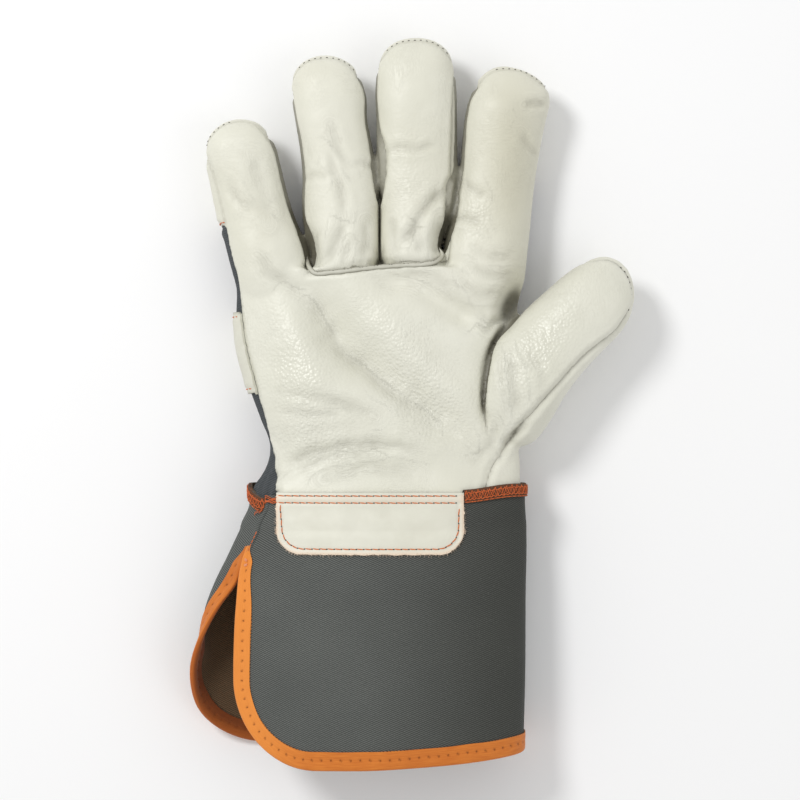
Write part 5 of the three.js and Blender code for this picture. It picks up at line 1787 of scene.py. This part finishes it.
def make_tip_stitches(tree, outer, seams, number):
    """The stitches on the fingertips' leather: across the back of each finger, and round the tips."""
    back, rims = [], []
    for k, name in enumerate(TIP_PIECES):
        tip = number["tip_" + name]
        for run in chains(border_of(seams, tip, number["hand_back"]))[:1]:
            line, _ = resampled(smooth_line(outer[run]), 0.8)
            spots, ups = on_surface(tree, line + np.array([0, 1.7, 0]))
            back.append(stitches(smooth_line(spots, 3), ups, 30 + k, **TIP_STITCH))
        front = number["palm_front" if name in ("little", "index") else "middle_ring_front"]
        rims += rim_lines(border_of(seams, tip, front), outer)
    rims += rim_lines(border_of(seams, number["thumb_front"], number["thumb_back"]), outer)
    thread_piece("tip_border_stitches", back, ORANGE_THREAD, "tape")
    dots = [stitches(*on_surface(tree, line), 40 + k, **TIP_DOT) for k, line in enumerate(rims)]
    thread_piece("tip_seam_stitches", dots, DARK_THREAD, "canvas")


def make_lip(tree):
    """The rolled seam across the finger bases, its two ends turned up into the gaps."""
    line, _ = resampled(path_of(LIP, 0.6), 0.6)
    line = np.column_stack([line, np.zeros(len(line))])
    beside = [line + np.array([0, away, 0]) for away in (-1.4, -0.7, 0.0, 0.7)]
    heights = np.max([highest(tree, spots) for spots in beside], axis=0)
    for _ in range(12):
        heights = np.convolve(np.pad(heights, 1, "edge"), [0.25, 0.5, 0.25], "valid")
    line[:, 1] += 0.45
    line[:, 2] = heights - 0.2 + 0.08 * np.sin(line[:, 0] * 1.7)
    up = np.zeros_like(line) + np.array([0, 0.0, 1.0])
    t = np.linspace(0, 1, len(line))
    taper = smoothstep(np.minimum(t, 1 - t), 0, 0.05) * (1 + 0.08 * np.sin(t * 70)) + 0.05
    sides = 14
    points, lip = round_tube(line, up, 1.0, sides, taper)
    angle = np.linspace(0, 2 * math.pi, sides, endpoint=False)
    # Greyer all round, and painted shade on the tube's sides
    shade = np.concatenate([np.tile(0.3 + 0.6 * np.abs(np.cos(angle)) ** 4, len(line)), [0.5, 0.5]])
    flat = points[:, :2]
    add_piece("finger_base_seam_lip", points, lip, COWHIDE, "leather", (), flat, inside=0, crease=shade)
    behind = line[12:-12] + np.array([0, 0.62, 0.62])
    dots = stitches(behind, 0 * behind + np.array([0, 0.6, 0.8]), 60, **LIP_DOT)
    thread_piece("finger_base_seam_stitches", [dots], DARK_THREAD, "canvas")


def highest(tree, spots):
    """The surface's height at spots, seen from above."""
    hits = [tree.ray_cast(Vector((x, y, 90.0)), Vector((0, 0, -1.0))) for x, y, _ in spots]
    return np.array([hit[0][2] if hit[0] is not None else 0.0 for hit in hits])


def outermost(tree, spots, normals):
    """Moves each spot out to the surface's outer side, as seen from far away along its normal."""
    for i, (spot, normal) in enumerate(zip(spots, normals)):
        hit = tree.ray_cast(Vector(spot + normal * 6.0), Vector(-normal))
        if hit[0] is not None:
            spots[i] = hit[0][:]
    return spots, normals


def runs_of(spots, gap):
    """Index ranges of a path between jumps wider than gap."""
    jumps = np.flatnonzero(np.linalg.norm(np.diff(spots, axis=0), axis=1) > gap) + 1
    edges = [0, *jumps.tolist(), len(spots)]
    return list(zip(edges, edges[1:]))


# Where a tip's stitches show from above: middle x, y and radius
STITCHED = [
    (-93.0, 118.0, 15.0),
    (-38.0, 158.0, 16.0),
    (2.0, 166.0, 17.0),
    (52.0, 147.0, 17.0),
    (98.0, 44.0, 21.0),
]


def in_any(points, circles):
    """Which points are, seen from above, in one of the circles."""
    inside = np.zeros(len(points), bool)
    for x, y, radius in circles:
        inside |= np.hypot(points[:, 0] - x, points[:, 1] - y) < radius
    return inside


def rim_lines(border, outer):
    """The part of a front seam that rounds a fingertip, moved onto the leather behind it."""
    lines = []
    for run in chains(border)[:2]:
        line = smooth_line(outer[run])
        near = (tip_raise(line) > 0.4) & in_any(line, STITCHED)
        for start, end in runs_where(near):
            if end - start > 10:
                part, _ = resampled(line[start:end], 0.8)
                out = unit((part - part.mean(axis=0)) * np.array([1, 1, 0]))
                lines.append(part + out * 0.3 + np.array([0, 0, -0.3]))
    return lines


def runs_where(flags):
    """Index ranges in which the flags are set."""
    steps = np.flatnonzero(np.diff(np.concatenate([[0], flags.astype(int), [0]])))
    return list(zip(steps[::2], steps[1::2]))


make_hand()
make_cuff()
make_binding()
make_patch()
make_band()
make_side_seam()


# Floor, light and camera: how much of the floor the photo shows, in metres, how high the camera is and what
# it looks at, and each lamp's place, size and watts
PHOTO_FIELD = 0.360
EYE_HEIGHT = 1.25
AIM = (np.array([-5.85, 1.8, 20.0]) + SHIFT) * MM
FLOOR_HALF = 6.0
FLOOR_WHITE = (0.93, 0.93, 0.93, 1)
DAYLIGHT = 0.64
LAMPS = {"key": ((-0.7, 0.62, 1.2), 0.4, 10.0), "fill": ((0.9, -0.3, 1.1), 1.0, 2.2)}


def make_floor():
    corners = [(-FLOOR_HALF, -FLOOR_HALF, 0), (FLOOR_HALF, -FLOOR_HALF, 0), (FLOOR_HALF, FLOOR_HALF, 0)]
    corners.append((-FLOOR_HALF, FLOOR_HALF, 0))
    mesh = mesh_from("floor", np.array(corners), np.array([(0, 1, 2, 3)]))
    mesh.materials.append(Shader("white_sweep", 0.9, 0.1).done(FLOOR_WHITE))
    add_object("floor", mesh)


def make_studio():
    """Even daylight, a key lamp and a fill lamp, and a camera straight above the palm, as in the photo."""
    scene = bpy.context.scene
    scene.world = bpy.data.worlds.new("studio")
    scene.world.use_nodes = True
    background = scene.world.node_tree.nodes["Background"]
    background.inputs["Color"].default_value = (1, 1, 1, 1)
    background.inputs["Strength"].default_value = DAYLIGHT
    for name, (place, size, watts) in LAMPS.items():
        light = bpy.data.lights.new(name, "AREA")
        light.shape, light.size, light.energy = "DISK", size, watts
        lamp = add_object(name, light)
        lamp.location = place
        lamp.rotation_mode = "QUATERNION"
        lamp.rotation_quaternion = (Vector(AIM) - Vector(place)).to_track_quat("-Z", "Y")
    camera = bpy.data.cameras.new("camera")
    camera.sensor_width = 36.0
    camera.lens = camera.sensor_width * (EYE_HEIGHT - AIM[2]) / PHOTO_FIELD
    scene.camera = add_object("camera", camera)
    scene.camera.location = (AIM[0], AIM[1], EYE_HEIGHT)
    scene.view_settings.view_transform = "Standard"


make_floor()
make_studio()
